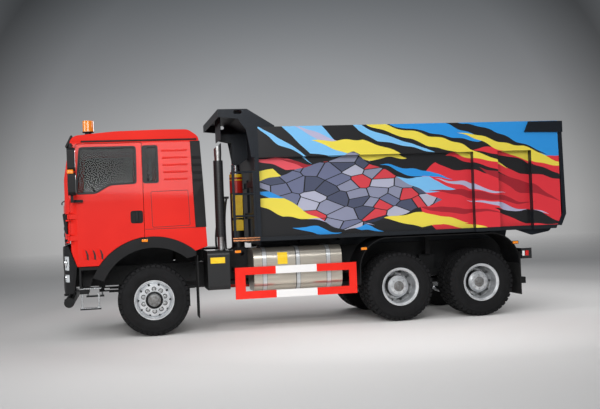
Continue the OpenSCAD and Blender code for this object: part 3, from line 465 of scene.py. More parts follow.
front_nuts = nut_ring(STUD_CIRCLE, 0.130, STUDS, NUT_R)
twin_nuts = nut_ring(TWIN_STUD_CIRCLE, 0.021, STUDS, NUT_R)
hub_bolts = nut_ring(HUB_BOLT_CIRCLE, 0.2035, HUB_BOLTS, HUB_BOLT_R)
nut_seats = turned([(0.018, 0.1285), (0.0345, 0.1285), (0.0345, 0.1318), (0.018, 0.1318)], 24,
                   at=(0, 0, STUD_CIRCLE))
ring_of(STUDS)
front_cap = turned([(0.0, 0.150), (0.092, 0.150), (0.092, 0.190), (0.084, 0.201), (0.060, 0.206),
                    (0.054, 0.212), (0.030, 0.220), (0.0, 0.222)], 40)
front_ring = turned([(0.090, 0.126), (0.128, 0.126), (0.130, 0.140), (0.122, 0.150), (0.106, 0.153),
                     (0.093, 0.146)], 48)
twin_cap = turned([(0.0, 0.195), (0.082, 0.195), (0.082, 0.208), (0.074, 0.214), (0.034, 0.217),
                   (0.030, 0.224), (0.0, 0.226)], 40)
twin_ring = turned([(0.160, 0.018), (0.1715, 0.018), (0.1715, 0.120), (0.175, 0.124),
                    (0.175, 0.158), (0.160, 0.172)], 48)
FRONT_SET = ((front_nuts, "wheel_nuts", "wheel_silver", zinc),
             (front_cap, "hub_cap", "cast_grey", hub_grey),
             (front_ring, "hub_ring", "black_steel", chassis_black),
             (nut_seats, "nut_seats", "black_steel", chassis_black))
TWIN_SET = ((twin_nuts, "wheel_nuts", "wheel_silver", zinc),
            (twin_cap, "hub_cap", "cast_grey", hub_grey),
            (twin_ring, "hub_ring", "black_steel", chassis_black),
            (hub_bolts, "hub_bolts", "wheel_silver", zinc))
for name, wheel_tyre, body, node, x, y in WHEELS:
    for model, piece, slot, material in FRONT_SET if wheel_tyre is tyre else TWIN_SET:
        stamp(model, piece + "." + name, body, material, x, y)
for model in [tyre, twin_tyres] + [row[0] for row in FRONT_SET + TWIN_SET]:
    bpy.data.objects.remove(model)

# Black mouldings: bumper shell, step boxes, mudguards, wheel-arch bands, sun visor and mirror
# housings. Injection-moulded polypropylene with a fine leather grain, clipped and screwed on.
# Grained polypropylene: charcoal black, half matt, with a pebble grain of 2.4 mm.
black_plastic, tree, shader, spot = begin("grained_polypropylene")
pebble = add(tree, "TexVoronoi", {"Vector": spot, "Scale": 420.0})
cloud = add(tree, "TexNoise", {"Vector": spot, "Scale": 4.0, "Detail": 4.0})
tone = add(tree, "ValToRGB", {"Fac": cloud}, stops=((0.3, "#0C0C0D"), (0.7, "#151517")))
skin = add(tree, "Bump", {"Strength": 0.2, "Distance": 0.0008, "Height": pebble})
fill(shader, {"Base Color": tone, "Roughness": 0.5, "Specular IOR Level": 0.25, "Normal": skin})
coat(black_plastic, "bumper", "entry_steps", "rear_mudguards", "cab_mouldings", "mirror_left",
     "mirror_right")

# Flaps and splash shields: the flaps hang behind the wheels, and the shields stand between each
# rail and the cab floor to keep dirt off the engine. Rubber sheet, bolted along one edge.
# Sheet rubber: dull black with chalky marks of 170 mm.
flap_rubber, tree, shader, spot = begin("sheet_rubber")
chalk = add(tree, "TexNoise", {"Vector": spot, "Scale": 6.0, "Detail": 6.0})
tone = add(tree, "ValToRGB", {"Fac": chalk}, stops=((0.35, "#0D0D0E"), (0.8, "#1D1C1C")))
fill(shader, {"Base Color": tone, "Roughness": 0.82})
coat(flap_rubber, "mudflaps")
block((1.880, 0.466, 1.060), (2.280, 0.474, 1.480), 0.002)
keep("splash_shield", "chassis", flap_rubber, both=True)

# Lamps: headlamps in the bumper with round reflectors behind clear polycarbonate, tail lamps on
# arms and a beacon on the roof. Moulded housings; the lenses are clear plastic over bright bowls.
TAIL_FROM, ROOF_FROM = -3.0, 3.10
# Lens plastic: clear in the bumper, black where it is a tail lamp's box and amber on the roof, told
# apart by place, with moulded ribs 12 mm apart.
lamp_lens, tree, shader, spot = begin("tinted_polycarbonate")
axes = add(tree, "SeparateXYZ", {"Vector": spot}).outputs
at_tail = add(tree, "Math", {0: axes["X"], 1: TAIL_FROM}, operation="LESS_THAN")
on_roof = add(tree, "Math", {0: axes["Z"], 1: ROOF_FROM}, operation="GREATER_THAN")
rib = add(tree, "TexWave", {"Vector": spot, "Scale": 26.0}, bands_direction="Z").outputs["Fac"]
front_tone = add(tree, "ValToRGB", {"Fac": rib}, stops=((0.0, "#AEB4B8"), (1.0, "#E6EAEC")))
tail_tone = add(tree, "Mix", {MIX: at_tail, UNDER: front_tone, OVER: linear("#1B1B1D")},
                data_type="RGBA")
tone = add(tree, "Mix", {MIX: on_roof, UNDER: tail_tone, OVER: linear("#F08A12")}, data_type="RGBA")
skin = add(tree, "Bump", {"Strength": 0.2, "Distance": 0.002, "Height": rib})
fill(shader, {"Base Color": tone, "Roughness": 0.12, "Coat Weight": 0.6, "Normal": skin})
coat(lamp_lens, "lamps")


def lens(name, code, deep):
    """Coloured lamp plastic: bright and glossy, with moulded ribs 6 mm apart."""
    made, tree, shader, spot = begin(name)
    rib = add(tree, "TexWave", {"Vector": spot, "Scale": 52.0}, bands_direction="DIAGONAL")
    tone = add(tree, "ValToRGB", {"Fac": rib.outputs["Fac"]}, stops=((0.0, deep), (1.0, code)))
    skin = add(tree, "Bump", {"Strength": 0.3, "Distance": 0.001, "Height": rib.outputs["Fac"]})
    fill(shader, {"Base Color": tone, "Roughness": 0.1, "Coat Weight": 0.5, "Normal": skin,
                  "Emission Color": linear(code), "Emission Strength": 0.12})
    return made


amber_lens = lens("amber_lens", "#FF9A1A", "#D96A08")
red_lens = lens("red_lens", "#E01B18", "#97100E")
white_lens = lens("white_lens", "#F2F3F2", "#C4C8CA")

# Headlamp bowls: round bowls with bezels, two in each upper lamp and one in each lower lamp.
# Pressed plastic, clipped into the housing.
# Lamp bowl: vacuum-metallised plastic, mirror bright, hazed in patches of 30 mm.
bright_bowl, tree, shader, spot = begin("metallised_bowl")
haze = add(tree, "TexNoise", {"Vector": spot, "Scale": 30.0})
dull = add(tree, "MapRange", {"Value": haze, "To Min": 0.06, "To Max": 0.2})
fill(shader, {"Base Color": linear("#E4E6E8"), "Metallic": 1.0, "Roughness": dull})
bowl = turned([(0.0, 0.0), (0.030, 0.004), (0.056, 0.016), (0.066, 0.034), (0.074, 0.034),
               (0.074, 0.020), (0.062, -0.004), (0.0, -0.008)], 40,
              turn=(0, 0, -math.pi / 2), at=(3.885, 1.040, 1.150))
repeat(bowl, [(0.022, -0.100, 0.0), (0.010, -0.050, -0.222)])
keep("headlamp_bowls", "chassis", bright_bowl, both=True)

# Beacon: a ribbed amber dome on a black screw base, blow-moulded plastic, which stands on the stem
# of the roof bracket.
UPRIGHT = (math.pi / 2, 0, 0)
BEACON_X, BEACON_Y = 3.536, 0.800
turned([(0.0, 0.0), (0.079, 0.0), (0.080, 0.020), (0.078, 0.140), (0.072, 0.158), (0.055, 0.168),
        (0.0, 0.171)], 48, turn=UPRIGHT, at=(BEACON_X, BEACON_Y, 3.115))
keep("beacon_dome", "chassis", amber_lens)
turned([(0.0, -0.052), (0.060, -0.052), (0.062, -0.040), (0.050, -0.030), (0.050, -0.010),
        (0.086, -0.004), (0.087, 0.010), (0.0, 0.010)], 40, turn=UPRIGHT,
       at=(BEACON_X, BEACON_Y, 3.110))
keep("beacon_base", "chassis", black_plastic)

# Marker lamps along the side, on the wheel arch, the tank corner, the mudguards and the tail: small
# amber lenses on black pads, moulded and screwed through.
for name, x, y, z in (("arch", 2.760, 1.229, 1.440), ("tank", 1.371, 1.205, 1.209),
                      ("guard", -0.600, 1.236, 1.165), ("tail", -3.120, 1.236, 1.150)):
    block((x - 0.055, y - 0.004, z - 0.026), (x + 0.055, y + 0.006, z + 0.026), 0.004)
    keep("marker_pad_" + name, "chassis", black_plastic, both=True)
    block((x - 0.045, y + 0.004, z - 0.019), (x + 0.045, y + 0.018, z + 0.019), 0.007, 3)
    keep("marker_lens_" + name, "chassis", amber_lens, both=True)

# Tail lamps: red, amber and white lenses on the back of each black lamp box, and a red and a white
# one on its outer side. Moulded plastic, screwed to the box.
for name, material, y in (("red", red_lens, 1.130), ("amber", amber_lens, 1.005),
                          ("white", white_lens, 0.900)):
    block((-3.412, y - 0.050, 0.915), (-3.396, y + 0.050, 1.022), 0.008, 3)
    keep("tail_lens_" + name, "chassis", material, both=True)
for name, material, rear, front in (("red", red_lens, -3.345, -3.290),
                                    ("white", white_lens, -3.275, -3.238)):
    block((rear, 1.226, 0.930), (front, 1.238, 1.010), 0.004)
    keep("tail_side_" + name, "chassis", material, both=True)

# Fuel tank: rolled aluminium sheet with pressed ends, held by three steel straps, with a black
# cap. The straps are part of the CAD node; the cap is moulded plastic, screwed on top.
TANK_REAR, TANK_FRONT = -0.16, 1.16
STRAPS, STRAP_HALF, EDGE_HALF = (-0.050, 0.4335, 0.957), 0.030, 0.036
SHEET_MARK, EDGE_MARK, STRAP_MARK = "#000000", "#808080", "#FFFFFF"
strap_stops = [(0.0, SHEET_MARK)]
for middle in STRAPS:
    for off, mark in ((-EDGE_HALF, EDGE_MARK), (-STRAP_HALF, STRAP_MARK), (STRAP_HALF, EDGE_MARK),
                      (EDGE_HALF, SHEET_MARK)):
        strap_stops.append(((middle + off - TANK_REAR) / (TANK_FRONT - TANK_REAR), mark))
# Brushed aluminium: bright, streaked along the tank by the belt, the streaks 2 mm apart. Each strap
# is paler, with a dark rubber edge of 6 mm along both sides.
tank_metal, tree, shader, spot = begin("brushed_aluminium")
stretch = add(tree, "Mapping", {"Vector": spot, "Scale": (3.0, 500.0, 500.0)})
streak = add(tree, "TexNoise", {"Vector": stretch, "Scale": 1.0, "Detail": 3.0})
sheet_tone = add(tree, "ValToRGB", {"Fac": streak}, stops=((0.3, "#C4BCAE"), (0.7, "#E6DFD2")))
axes = add(tree, "SeparateXYZ", {"Vector": spot}).outputs
along = add(tree, "MapRange", {"Value": axes["X"], "From Min": TANK_REAR, "From Max": TANK_FRONT})
marks = add(tree, "ValToRGB", {"Fac": along}, steps=True, stops=strap_stops)
on_strap = add(tree, "Math", {0: marks, 1: 0.6}, operation="GREATER_THAN")
on_edge = add(tree, "Math", {0: marks, 1: 0.1}, operation="GREATER_THAN")
edged = add(tree, "Mix", {MIX: on_edge, UNDER: sheet_tone, OVER: linear("#2C2B2A")},
            data_type="RGBA")
tone = add(tree, "Mix", {MIX: on_strap, UNDER: edged, OVER: linear("#E2E4E5")}, data_type="RGBA")
dull = add(tree, "MapRange", {"Value": streak, "To Min": 0.22, "To Max": 0.42})
skin = add(tree, "Bump", {"Strength": 0.06, "Distance": 0.001, "Height": streak})
fill(shader, {"Base Color": tone, "Metallic": 0.9, "Roughness": dull, "Normal": skin})
coat(tank_metal, "fuel_tank")
turned([(0.0, 0.0), (0.062, 0.0), (0.062, 0.014), (0.054, 0.018), (0.054, 0.040), (0.046, 0.048),
        (0.0, 0.050)], 40, turn=UPRIGHT, at=(0.980, 0.860, 1.236))
keep("tank_cap", "chassis", black_plastic)

# Blank plates on the muffler box and on the tank, where it follows the tank's rounded edge. Thin
# sheet under film, glued on.
TANK_ROUND, ROUND_FROM = 0.170, 1.070
# Printed film: smooth signal yellow with a soft sheen, left blank, faded in patches of 60 mm.
yellow_film, tree, shader, spot = begin("yellow_vinyl_film")
fleck = add(tree, "TexNoise", {"Vector": spot, "Scale": 16.0, "Detail": 3.0})
tone = add(tree, "ValToRGB", {"Fac": fleck}, stops=((0.3, "#F2C40E"), (0.7, "#FCD62A")))
fill(shader, {"Base Color": tone, "Roughness": 0.38})
block((1.570, 1.188, 1.045), (1.790, 1.1935, 1.135), 0.002)
keep("blank_plate_muffler", "chassis", yellow_film)


def tank_round(p):
    """A plate's point, drawn in where the tank's side rounds over to its top."""
    over = max(0.0, p.z - ROUND_FROM)
    return Vector((p.x, p.y - TANK_ROUND + math.sqrt(TANK_ROUND ** 2 - over ** 2), p.z))


wrap = block((0.600, 1.148, 0.985), (0.755, 1.1535, 1.165))
edit_all(lambda: bpy.ops.mesh.subdivide(number_cuts=8))
mould(wrap, tank_round)
keep("blank_plate_tank", "chassis", yellow_film)

# Side guards: welded steel frames in gloss red with a white middle, bolted to black brackets on the
# rails. Square tube, sprayed after welding.
WHITE_REAR, WHITE_FRONT, FRAME_FROM = 0.165, 0.804, 1.194
# Gloss enamel: red at both ends and white between, sprayed, with a light orange peel of 4 mm.
guard_paint, tree, shader, spot = begin("two_tone_enamel")
axes = add(tree, "SeparateXYZ", {"Vector": spot}).outputs
past_rear = add(tree, "Math", {0: axes["X"], 1: WHITE_REAR}, operation="GREATER_THAN")
short_of_front = add(tree, "Math", {0: axes["X"], 1: WHITE_FRONT}, operation="LESS_THAN")
band = add(tree, "Math", {0: past_rear, 1: short_of_front}, operation="MULTIPLY")
out_by = add(tree, "Math", {0: axes["Y"]}, operation="ABSOLUTE")
bracket = add(tree, "Math", {0: out_by, 1: FRAME_FROM}, operation="LESS_THAN")
fade = add(tree, "TexNoise", {"Vector": spot, "Scale": 3.0, "Detail": 3.0})
red_tone = add(tree, "ValToRGB", {"Fac": fade}, stops=((0.3, "#EC2214"), (0.7, "#F42C1E")))
stripe = add(tree, "Mix", {MIX: band, UNDER: red_tone, OVER: linear("#F1F0EF")}, data_type="RGBA")
tone = add(tree, "Mix", {MIX: bracket, UNDER: stripe, OVER: linear("#1A1B1D")}, data_type="RGBA")
peel = add(tree, "TexNoise", {"Vector": spot, "Scale": 260.0, "Detail": 1.0})
skin = add(tree, "Bump", {"Strength": 0.04, "Distance": 0.001, "Height": peel})
fill(shader, {"Base Color": tone, "Roughness": 0.4, "Specular IOR Level": 0.2, "Coat Weight": 0.2,
              "Coat Roughness": 0.06, "Normal": skin})
coat(guard_paint, "side_guards")

# Exhaust: a black muffler box on the rail with a steel stack, a perforated heat cover and a slanted
# tip. Rolled and welded pipe; the cover is punched sheet, clamped round it.
STACK_X, STACK_Y, COVER_FROM, BOX_TOP = 1.590, 0.900, 0.064, 1.245
HOLES_ROUND, HOLES_UP = 20.0, 42.0
# Heat-stained steel: grey-silver pipe, browned in patches of 125 mm where it runs hot; the cover is
# satin black with 20 rows of punched holes, 24 mm apart up the pipe.
stack_metal, tree, shader, spot = begin("heat_stained_steel")
axes = add(tree, "SeparateXYZ", {"Vector": spot}).outputs
stain = add(tree, "TexNoise", {"Vector": spot, "Scale": 8.0, "Detail": 4.0})
pipe_tone = add(tree, "ValToRGB", {"Fac": stain}, stops=((0.3, "#8A8783"), (0.7, "#C2C3C4")))
about = add(tree, "Mapping", {"Vector": spot, "Location": (STACK_X, STACK_Y, 0)},
            vector_type="TEXTURE")
level_at = add(tree, "VectorMath", {0: about, 1: (1, 1, 0)}, operation="MULTIPLY")
out_by = add(tree, "VectorMath", {0: level_at}, operation="LENGTH")
cover = add(tree, "Math", {0: out_by, 1: COVER_FROM}, operation="GREATER_THAN")
muffler = add(tree, "Math", {0: axes["Z"], 1: BOX_TOP}, operation="LESS_THAN")
black_part = add(tree, "Math", {0: cover, 1: muffler}, operation="MAXIMUM")
round_it = add(tree, "TexGradient", {"Vector": about}, gradient_type="RADIAL").outputs["Fac"]
turn_at = add(tree, "Math", {0: round_it, 1: HOLES_ROUND}, operation="MULTIPLY")
up_at = add(tree, "Math", {0: axes["Z"], 1: HOLES_UP}, operation="MULTIPLY")
grid = add(tree, "CombineXYZ", {"X": turn_at, "Y": up_at})
punched = add(tree, "TexVoronoi", {"Vector": grid, "Scale": 1.0, "Randomness": 0.0},
              voronoi_dimensions="2D")
cover_tone = add(tree, "ValToRGB", {"Fac": punched}, stops=((0.30, "#050505"), (0.36, "#2B2C2E")))
black_tone = add(tree, "Mix", {MIX: muffler, UNDER: cover_tone, OVER: linear("#151618")},
                 data_type="RGBA")
tone = add(tree, "Mix", {MIX: black_part, UNDER: pipe_tone, OVER: black_tone}, data_type="RGBA")
metal = add(tree, "MapRange", {"Value": black_part, "To Min": 1.0, "To Max": 0.0})
fill(shader, {"Base Color": tone, "Metallic": metal, "Roughness": 0.4})
coat(stack_metal, "exhaust")
# The tip is a short bright pipe over the stack's end, cut on the slant so that rain runs off.
turned([(0.050, 0.0), (0.058, 0.0), (0.058, 0.210), (0.050, 0.210)], 32, turn=UPRIGHT,
       at=(STACK_X, STACK_Y, 2.690))
edit_all(lambda: bpy.ops.mesh.bisect(plane_co=(STACK_X, STACK_Y, 2.850), plane_no=(0.62, 0, 0.78),
                                     use_fill=False, clear_outer=True))
keep("stack_tip", "chassis", stack_metal)

# Cab shell: pressed steel panels and doors in gloss orange red, a ribbed mat on the floor pan and
# smoked windows. Panels are welded; the glass is set in rubber.
# Baked enamel: deep orange red under clear lacquer, with a light orange peel of 3 mm.
cab_paint, tree, shader, spot = begin("red_baked_enamel")
drift = add(tree, "TexNoise", {"Vector": spot, "Scale": 1.3, "Detail": 2.0})
tone = add(tree, "ValToRGB", {"Fac": drift}, stops=((0.3, "#DE1C10"), (0.7, "#E82415")))
peel = add(tree, "TexNoise", {"Vector": spot, "Scale": 330.0, "Detail": 1.0})
rounded = add(tree, "Bevel", {"Radius": 0.012}, samples=4)
skin = add(tree, "Bump", {"Strength": 0.03, "Distance": 0.001, "Height": peel, "Normal": rounded})
fill(shader, {"Base Color": tone, "Roughness": 0.42, "Specular IOR Level": 0.18, "Coat Weight": 0.2,
              "Coat Roughness": 0.05, "Normal": skin})
coat(cab_paint, "cab_back_panel", "cab_roof", "cab_front", "cab_sides", "door_left", "door_right")
# Floor mat: dark moulded rubber with ribs 10 mm apart.
floor_mat, tree, shader, spot = begin("ribbed_floor_mat")
rib = add(tree, "TexWave", {"Vector": spot, "Scale": 30.0}, bands_direction="X").outputs["Fac"]
skin = add(tree, "Bump", {"Strength": 0.5, "Distance": 0.002, "Height": rib})
tone = add(tree, "ValToRGB", {"Fac": rib}, stops=((0.0, "#1B1B1C"), (1.0, "#2C2C2D")))
fill(shader, {"Base Color": tone, "Roughness": 0.8, "Normal": skin})
coat(floor_mat, "cab_floor")
PALE_BELOW, DARK_ABOVE = 2.25, 2.85
# Window glass: tempered, lightly smoked, with clear reflections. It darkens towards its upper edge:
# partly a tinted band, partly a painted reflection of the dark studio above.
glass, tree, shader, spot = begin("tinted_tempered_glass")
smear = add(tree, "TexNoise", {"Vector": spot, "Scale": 3.0, "Detail": 3.0})
dull = add(tree, "MapRange", {"Value": smear, "To Min": 0.0, "To Max": 0.04})
axes = add(tree, "SeparateXYZ", {"Vector": spot}).outputs
# Painted reflection: the panes grow more opaque and darker upwards, partly a tinted band as
# windscreens have and partly a stand-in for the dark studio reflected above and the pale floor
# below.
tint_and_painted_reflection = add(tree, "MapRange", {"Value": axes["Z"], "From Min": PALE_BELOW, "From Max": DARK_ABOVE,
                                "To Min": 0.28, "To Max": 0.84})
fill(shader, {"Base Color": linear("#090B0C"), "Roughness": dull, "Alpha": tint_and_painted_reflection, "IOR": 1.45,
              "Specular IOR Level": 0.16})
coat(glass, "cab_glass", "door_glass_left", "door_glass_right")

# Window seals: black rubber sections pressed over the glass edge, one round each door window and
# one with a blanked front strip round each quarter window.
CAB_Y, WAIST_Z, LEAN_IN, LEAN_HEIGHT = 1.220, 2.05, 0.060, 0.895
# Seal rubber: extruded, black and half matt, worn grey in patches of 55 mm.
seal_rubber, tree, shader, spot = begin("extruded_seal_rubber")
worn = add(tree, "TexNoise", {"Vector": spot, "Scale": 18.0, "Detail": 3.0})
tone = add(tree, "ValToRGB", {"Fac": worn}, stops=((0.3, "#0F0F10"), (0.75, "#1E1E1F")))
fill(shader, {"Base Color": tone, "Roughness": 0.55})


def side_y(z):
    """The cab side's distance from the middle: upright below the waist, leaning in above it."""
    return CAB_Y - LEAN_IN * max(0.0, z - WAIST_Z) / LEAN_HEIGHT


def on_side(points, proud=0.0):
    """Places (x, z) points on the cab's left side."""
    return [Vector((x, side_y(z) + proud, z)) for x, z in points]


def at_y(y, points):
    """Places (x, z) points on an upright plane."""
    return [Vector((x, y, z)) for x, z in points]


def rectangle(rear, front, low, high):
    """The corners of an upright rectangle, as (x, z) points."""
    return [(front, high), (rear, high), (rear, low), (front, low)]


def outline(points):
    """A flat face on an outline of 3-D points."""
    bpy.ops.object.select_all(action="DESELECT")
    bpy.ops.mesh.primitive_circle_add(vertices=len(points), fill_type="NGON")
    made = bpy.context.object
    for vert, point in zip(made.data.vertices, points):
        vert.co = point
    return made


def panel(points, push):
    """A flat outline of 3-D points, drawn out by a vector into a plate."""
    made = outline(points)
    edit_all(lambda: bpy.ops.mesh.extrude_region_move(TRANSFORM_OT_translate={"value": push}),
             face_out)
    return made


def hoop(points, width, push):
    """A flat outline of 3-D points without its middle, drawn out by a vector into a frame."""
    def take_out():
        bpy.ops.mesh.inset(thickness=width, depth=0.0)
        bpy.ops.mesh.delete(type="FACE")

    made = outline(points)
    edit_all(take_out,
             lambda: bpy.ops.mesh.extrude_region_move(TRANSFORM_OT_translate={"value": push}),
             face_out)
    return made


def round_corners(points, radius, steps=5):
    """An outline's points with each corner turned into a short arc."""
    made = []
    for i, here in enumerate(points):
        before = (points[i - 1] - here).normalized()
        after = (points[(i + 1) % len(points)] - here).normalized()
        start, end = here + before * radius, here + after * radius
        for k in range(steps + 1):
            t = k / steps
            made.append((1 - t) ** 2 * start + 2 * t * (1 - t) * here + t ** 2 * end)
    return made


door_edge = [(3.675, 2.862), (2.839, 2.862), (2.845, 2.291), (3.237, 2.278), (3.441, 2.160),
             (3.743, 2.156)]
hoop(round_corners(on_side(door_edge, -0.004), 0.055), 0.030, (0, 0.010, 0))
soften(0.003, 1)
keep("door_seal", "{}_door", seal_rubber, both=True)
hoop(round_corners(on_side(rectangle(2.518, 2.756, 2.292, 2.866), -0.004), 0.045), 0.034,
     (0, 0.010, 0))
soften(0.003, 1)
keep("quarter_seal", "chassis", seal_rubber, both=True)
panel(on_side(rectangle(2.690, 2.750, 2.306, 2.850), -0.006), (0, 0.008, 0))
soften(0.002, 1)
keep("quarter_strip", "chassis", seal_rubber, both=True)

# Drip rail: a strip along the roof joint above the door and the side panel that leads rain away.
# Black moulded plastic, pushed over the welded flange.
block((1.930, 1.150, 2.930), (3.640, 1.168, 2.956), 0.006)
keep("drip_rail", "chassis", black_plastic, both=True)

# Corner louvres: air panels at the cab's rear corners with four slats. Black plastic, moulded in
# one piece and clipped to the corner.
SLATS, SLAT_TOP, SLAT_PITCH, SLAT_WIDTH, SLAT_DROP = 4, 2.690, 0.115, 0.150, 0.034
corner = [(2.032, 2.916), (1.885, 2.916), (1.858, 2.290), (1.850, 2.050), (1.836, 1.607),
          (1.999, 1.607), (2.014, 2.050)]
parts = [panel(on_side(corner, -0.004), (0, 0.014, 0))]
soften(0.004, 1)
for k in range(SLATS):
    z, x = SLAT_TOP - SLAT_PITCH * k, 2.026 - 0.03 * SLAT_PITCH * k
    inside, outside = side_y(z) + 0.008, side_y(z) + 0.020
    parts.append(panel([Vector((x, inside, z)), Vector((x - SLAT_WIDTH, inside, z)),
                        Vector((x - SLAT_WIDTH, outside, z - SLAT_DROP)),
                        Vector((x, outside, z - SLAT_DROP))], (0, 0.003, -0.008)))
merge(*parts)
keep("corner_louvre", "chassis", black_plastic, both=True)

# Pressed ribs behind the quarter window: five shallow ribs that stiffen the side panel. Stamped in
# its steel and painted with it.
RIBS, RIB_LOWEST, RIB_PITCH, RIB_HALF = 5, 2.345, 0.108, 0.014
parts = []
for k in range(RIBS):
    z = RIB_LOWEST + RIB_PITCH * k
    parts.append(block((2.085, side_y(z) - 0.010, z - RIB_HALF),
                       (2.440 + 0.006 * k, side_y(z) + 0.007, z + RIB_HALF), 0.0075, 3))
merge(*parts)
keep("side_ribs", "chassis", cab_paint, both=True)

# Stowage lid: a flush steel lid in the side panel, hung on hidden hinges. Its shut line, and the
# joint of the panel below it, are grooves filled with dark rubber.
lid = [(2.648, 2.170), (2.090, 2.176), (2.086, 2.050), (2.074, 1.640), (2.640, 1.629),
       (2.645, 2.050)]
hoop(round_corners(on_side(lid, -0.0035), 0.030), 0.007, (0, 0.004, 0))
keep("stowage_shut_line", "chassis", seal_rubber, both=True)
panel(at_y(1.2165, rectangle(1.990, 2.745, 1.604, 1.611)), (0, 0.004, 0))
keep("side_panel_joint", "chassis", seal_rubber, both=True)

# Door pull: a black cup let into the door with a bar across it, moulded in plastic and bolted from
# inside.
rim = hoop(round_corners(at_y(1.216, rectangle(2.772, 2.955, 1.702, 1.890)), 0.040), 0.022,
           (0, 0.012, 0))
soften(0.004)
cup = panel(round_corners(at_y(1.215, rectangle(2.782, 2.945, 1.712, 1.880)), 0.030), (0, 0.006, 0))
bar = block((2.835, 1.218, 1.712), (2.885, 1.240, 1.882), 0.010, 3)
merge(rim, cup, bar)
keep("door_pull", "{}_door", black_plastic, both=True)

# Door scoops: three leaf-shaped pressings low on the front of each door, raised towards the rear,
# each with a dark crescent of painted shade behind it. Stamped in the door's steel; the crescents
# are thin dark pieces in place of the shade in the scoops.
SCOOP_Y, SCOOP_FRONT, SCOOP_PITCH = 1.214, 3.700, 0.105
LEAF = ((-0.010, 1.360), (-0.070, 1.335), (-0.088, 1.270), (-0.092, 1.195), (-0.040, 1.225),
        (-0.014, 1.290))
SHADE_CRESCENT = ((-0.066, 1.340), (-0.092, 1.322), (-0.116, 1.262), (-0.118, 1.182), (-0.092, 1.195),
         (-0.088, 1.270))
LEAF_RISE, LEAF_SINK, SUNK_FROM = 0.022, Vector((0, 0.019, 0)), -0.045
leaves, shade_crescents = [], []
for x in [SCOOP_FRONT - SCOOP_PITCH * k for k in range(3)]:
    leaf = panel(at_y(SCOOP_Y, [(x + back, z) for back, z in LEAF]), (0, LEAF_RISE, 0))
    mould(leaf, lambda p: p - LEAF_SINK if p.y > SCOOP_Y + 0.006 and p.x > x + SUNK_FROM else p)
    soften(0.005)
    leaves.append(leaf)
    # Each dark crescent is a thin piece of painted shade, laid where the scoop's hollow would be in
    # shade.
    shade_crescents.append(panel(at_y(SCOOP_Y, [(x + back, z) for back, z in SHADE_CRESCENT]), (0, 0.009, 0)))
merge(*leaves)
keep("door_scoops", "{}_door", cab_paint, both=True)
merge(*shade_crescents)
soften(0.002, 1)
keep("scoop_shade_crescents", "{}_door", seal_rubber, both=True)

# Corner vent: a dark slot with a shaped lip in the panel ahead of each door. Moulded in black
# plastic and pushed into the panel.
panel(round_corners([Vector((3.930, 1.060, 1.880)), Vector((3.868, 1.130, 1.900)),
                     Vector((3.868, 1.130, 1.560)), Vector((3.900, 1.100, 1.620))], 0.018),
      (0.016, 0.018, 0))
soften(0.003, 1)
keep("corner_vent", "chassis", black_plastic, both=True)

# Front grille: a black insert below the windscreen with five bowed slats between two end posts.
# Moulded in plastic and clipped into the front panel.
GRILLE_X, GRILLE_HALF, BOW, FLAT_HALF = 3.975, 0.860, 0.075, 0.12
parts = []
for z, high, deep in ((1.470, 0.030, 0.020), (1.560, 0.050, 0.026), (1.660, 0.050, 0.026),
                      (1.760, 0.050, 0.026), (1.860, 0.030, 0.020)):
    slat = block((GRILLE_X, -GRILLE_HALF, z - high / 2),
                 (GRILLE_X + deep, GRILLE_HALF, z + high / 2))
    edit_all(lambda: bpy.ops.mesh.subdivide(number_cuts=15))
    mould(slat, lambda p: Vector((p.x - BOW * max(FLAT_HALF, abs(p.y)) - 0.002, p.y, p.z)))
    parts.append(slat)
for y in (-0.875, 0.875):
    parts.append(block((3.905, y - 0.02, 1.455), (3.935, y + 0.02, 1.875), 0.008))
merge(*parts)
keep("front_grille", "chassis", black_plastic)

# Wipers: two slender steel arms, parked along the foot of the windscreen. Each is fixed to a short
# spindle in the front panel.
parts = []
for y in (0.780, -0.120):
    parts.append(block((3.955, y - 0.010, 2.020), (3.972, y + 0.010, 2.060), 0.004))
    arm = block((3.950, y - 0.640, 2.055), (3.962, y, 2.070), 0.003)
    mould(arm, lambda p, y=y: Vector((p.x - 0.02 * (y - p.y), p.y, p.z + 0.06 * (y - p.y))))
    parts.append(arm)
merge(*parts)
keep("wipers", "chassis", chassis_black)

# Mirrors: a pane of glass in the back of each head and an amber repeater between the heads. The
# panes are clipped in from behind, the repeater is screwed to the arm.
PANE_X, PANE_INNER, PANE_OUTER = 3.720, 1.330, 1.490
# Mirror glass: silvered plate, almost black when it reflects the dark studio.
mirror_glass, tree, shader, spot = begin("silvered_glass")
haze = add(tree, "TexNoise", {"Vector": spot, "Scale": 8.0})
dull = add(tree, "MapRange", {"Value": haze, "To Min": 0.01, "To Max": 0.06})
fill(shader, {"Base Color": linear("#D8DCDD"), "Metallic": 1.0, "Roughness": dull})
parts = []
for low, high in ((2.520, 2.808), (2.169, 2.450)):
    edge = [Vector((PANE_X, y, z)) for y, z in ((PANE_INNER, low), (PANE_OUTER, low),
                                                (PANE_OUTER, high), (PANE_INNER, high))]
    parts.append(panel(round_corners(edge, 0.035), (-0.004, 0, 0)))
    soften(0.001, 1)
merge(*parts)
keep("mirror_panes", "{}_door", mirror_glass, both=True)
block((3.745, 1.470, 2.455), (3.835, 1.512, 2.515), 0.012, 3)
keep("mirror_repeater", "{}_door", amber_lens, both=True)

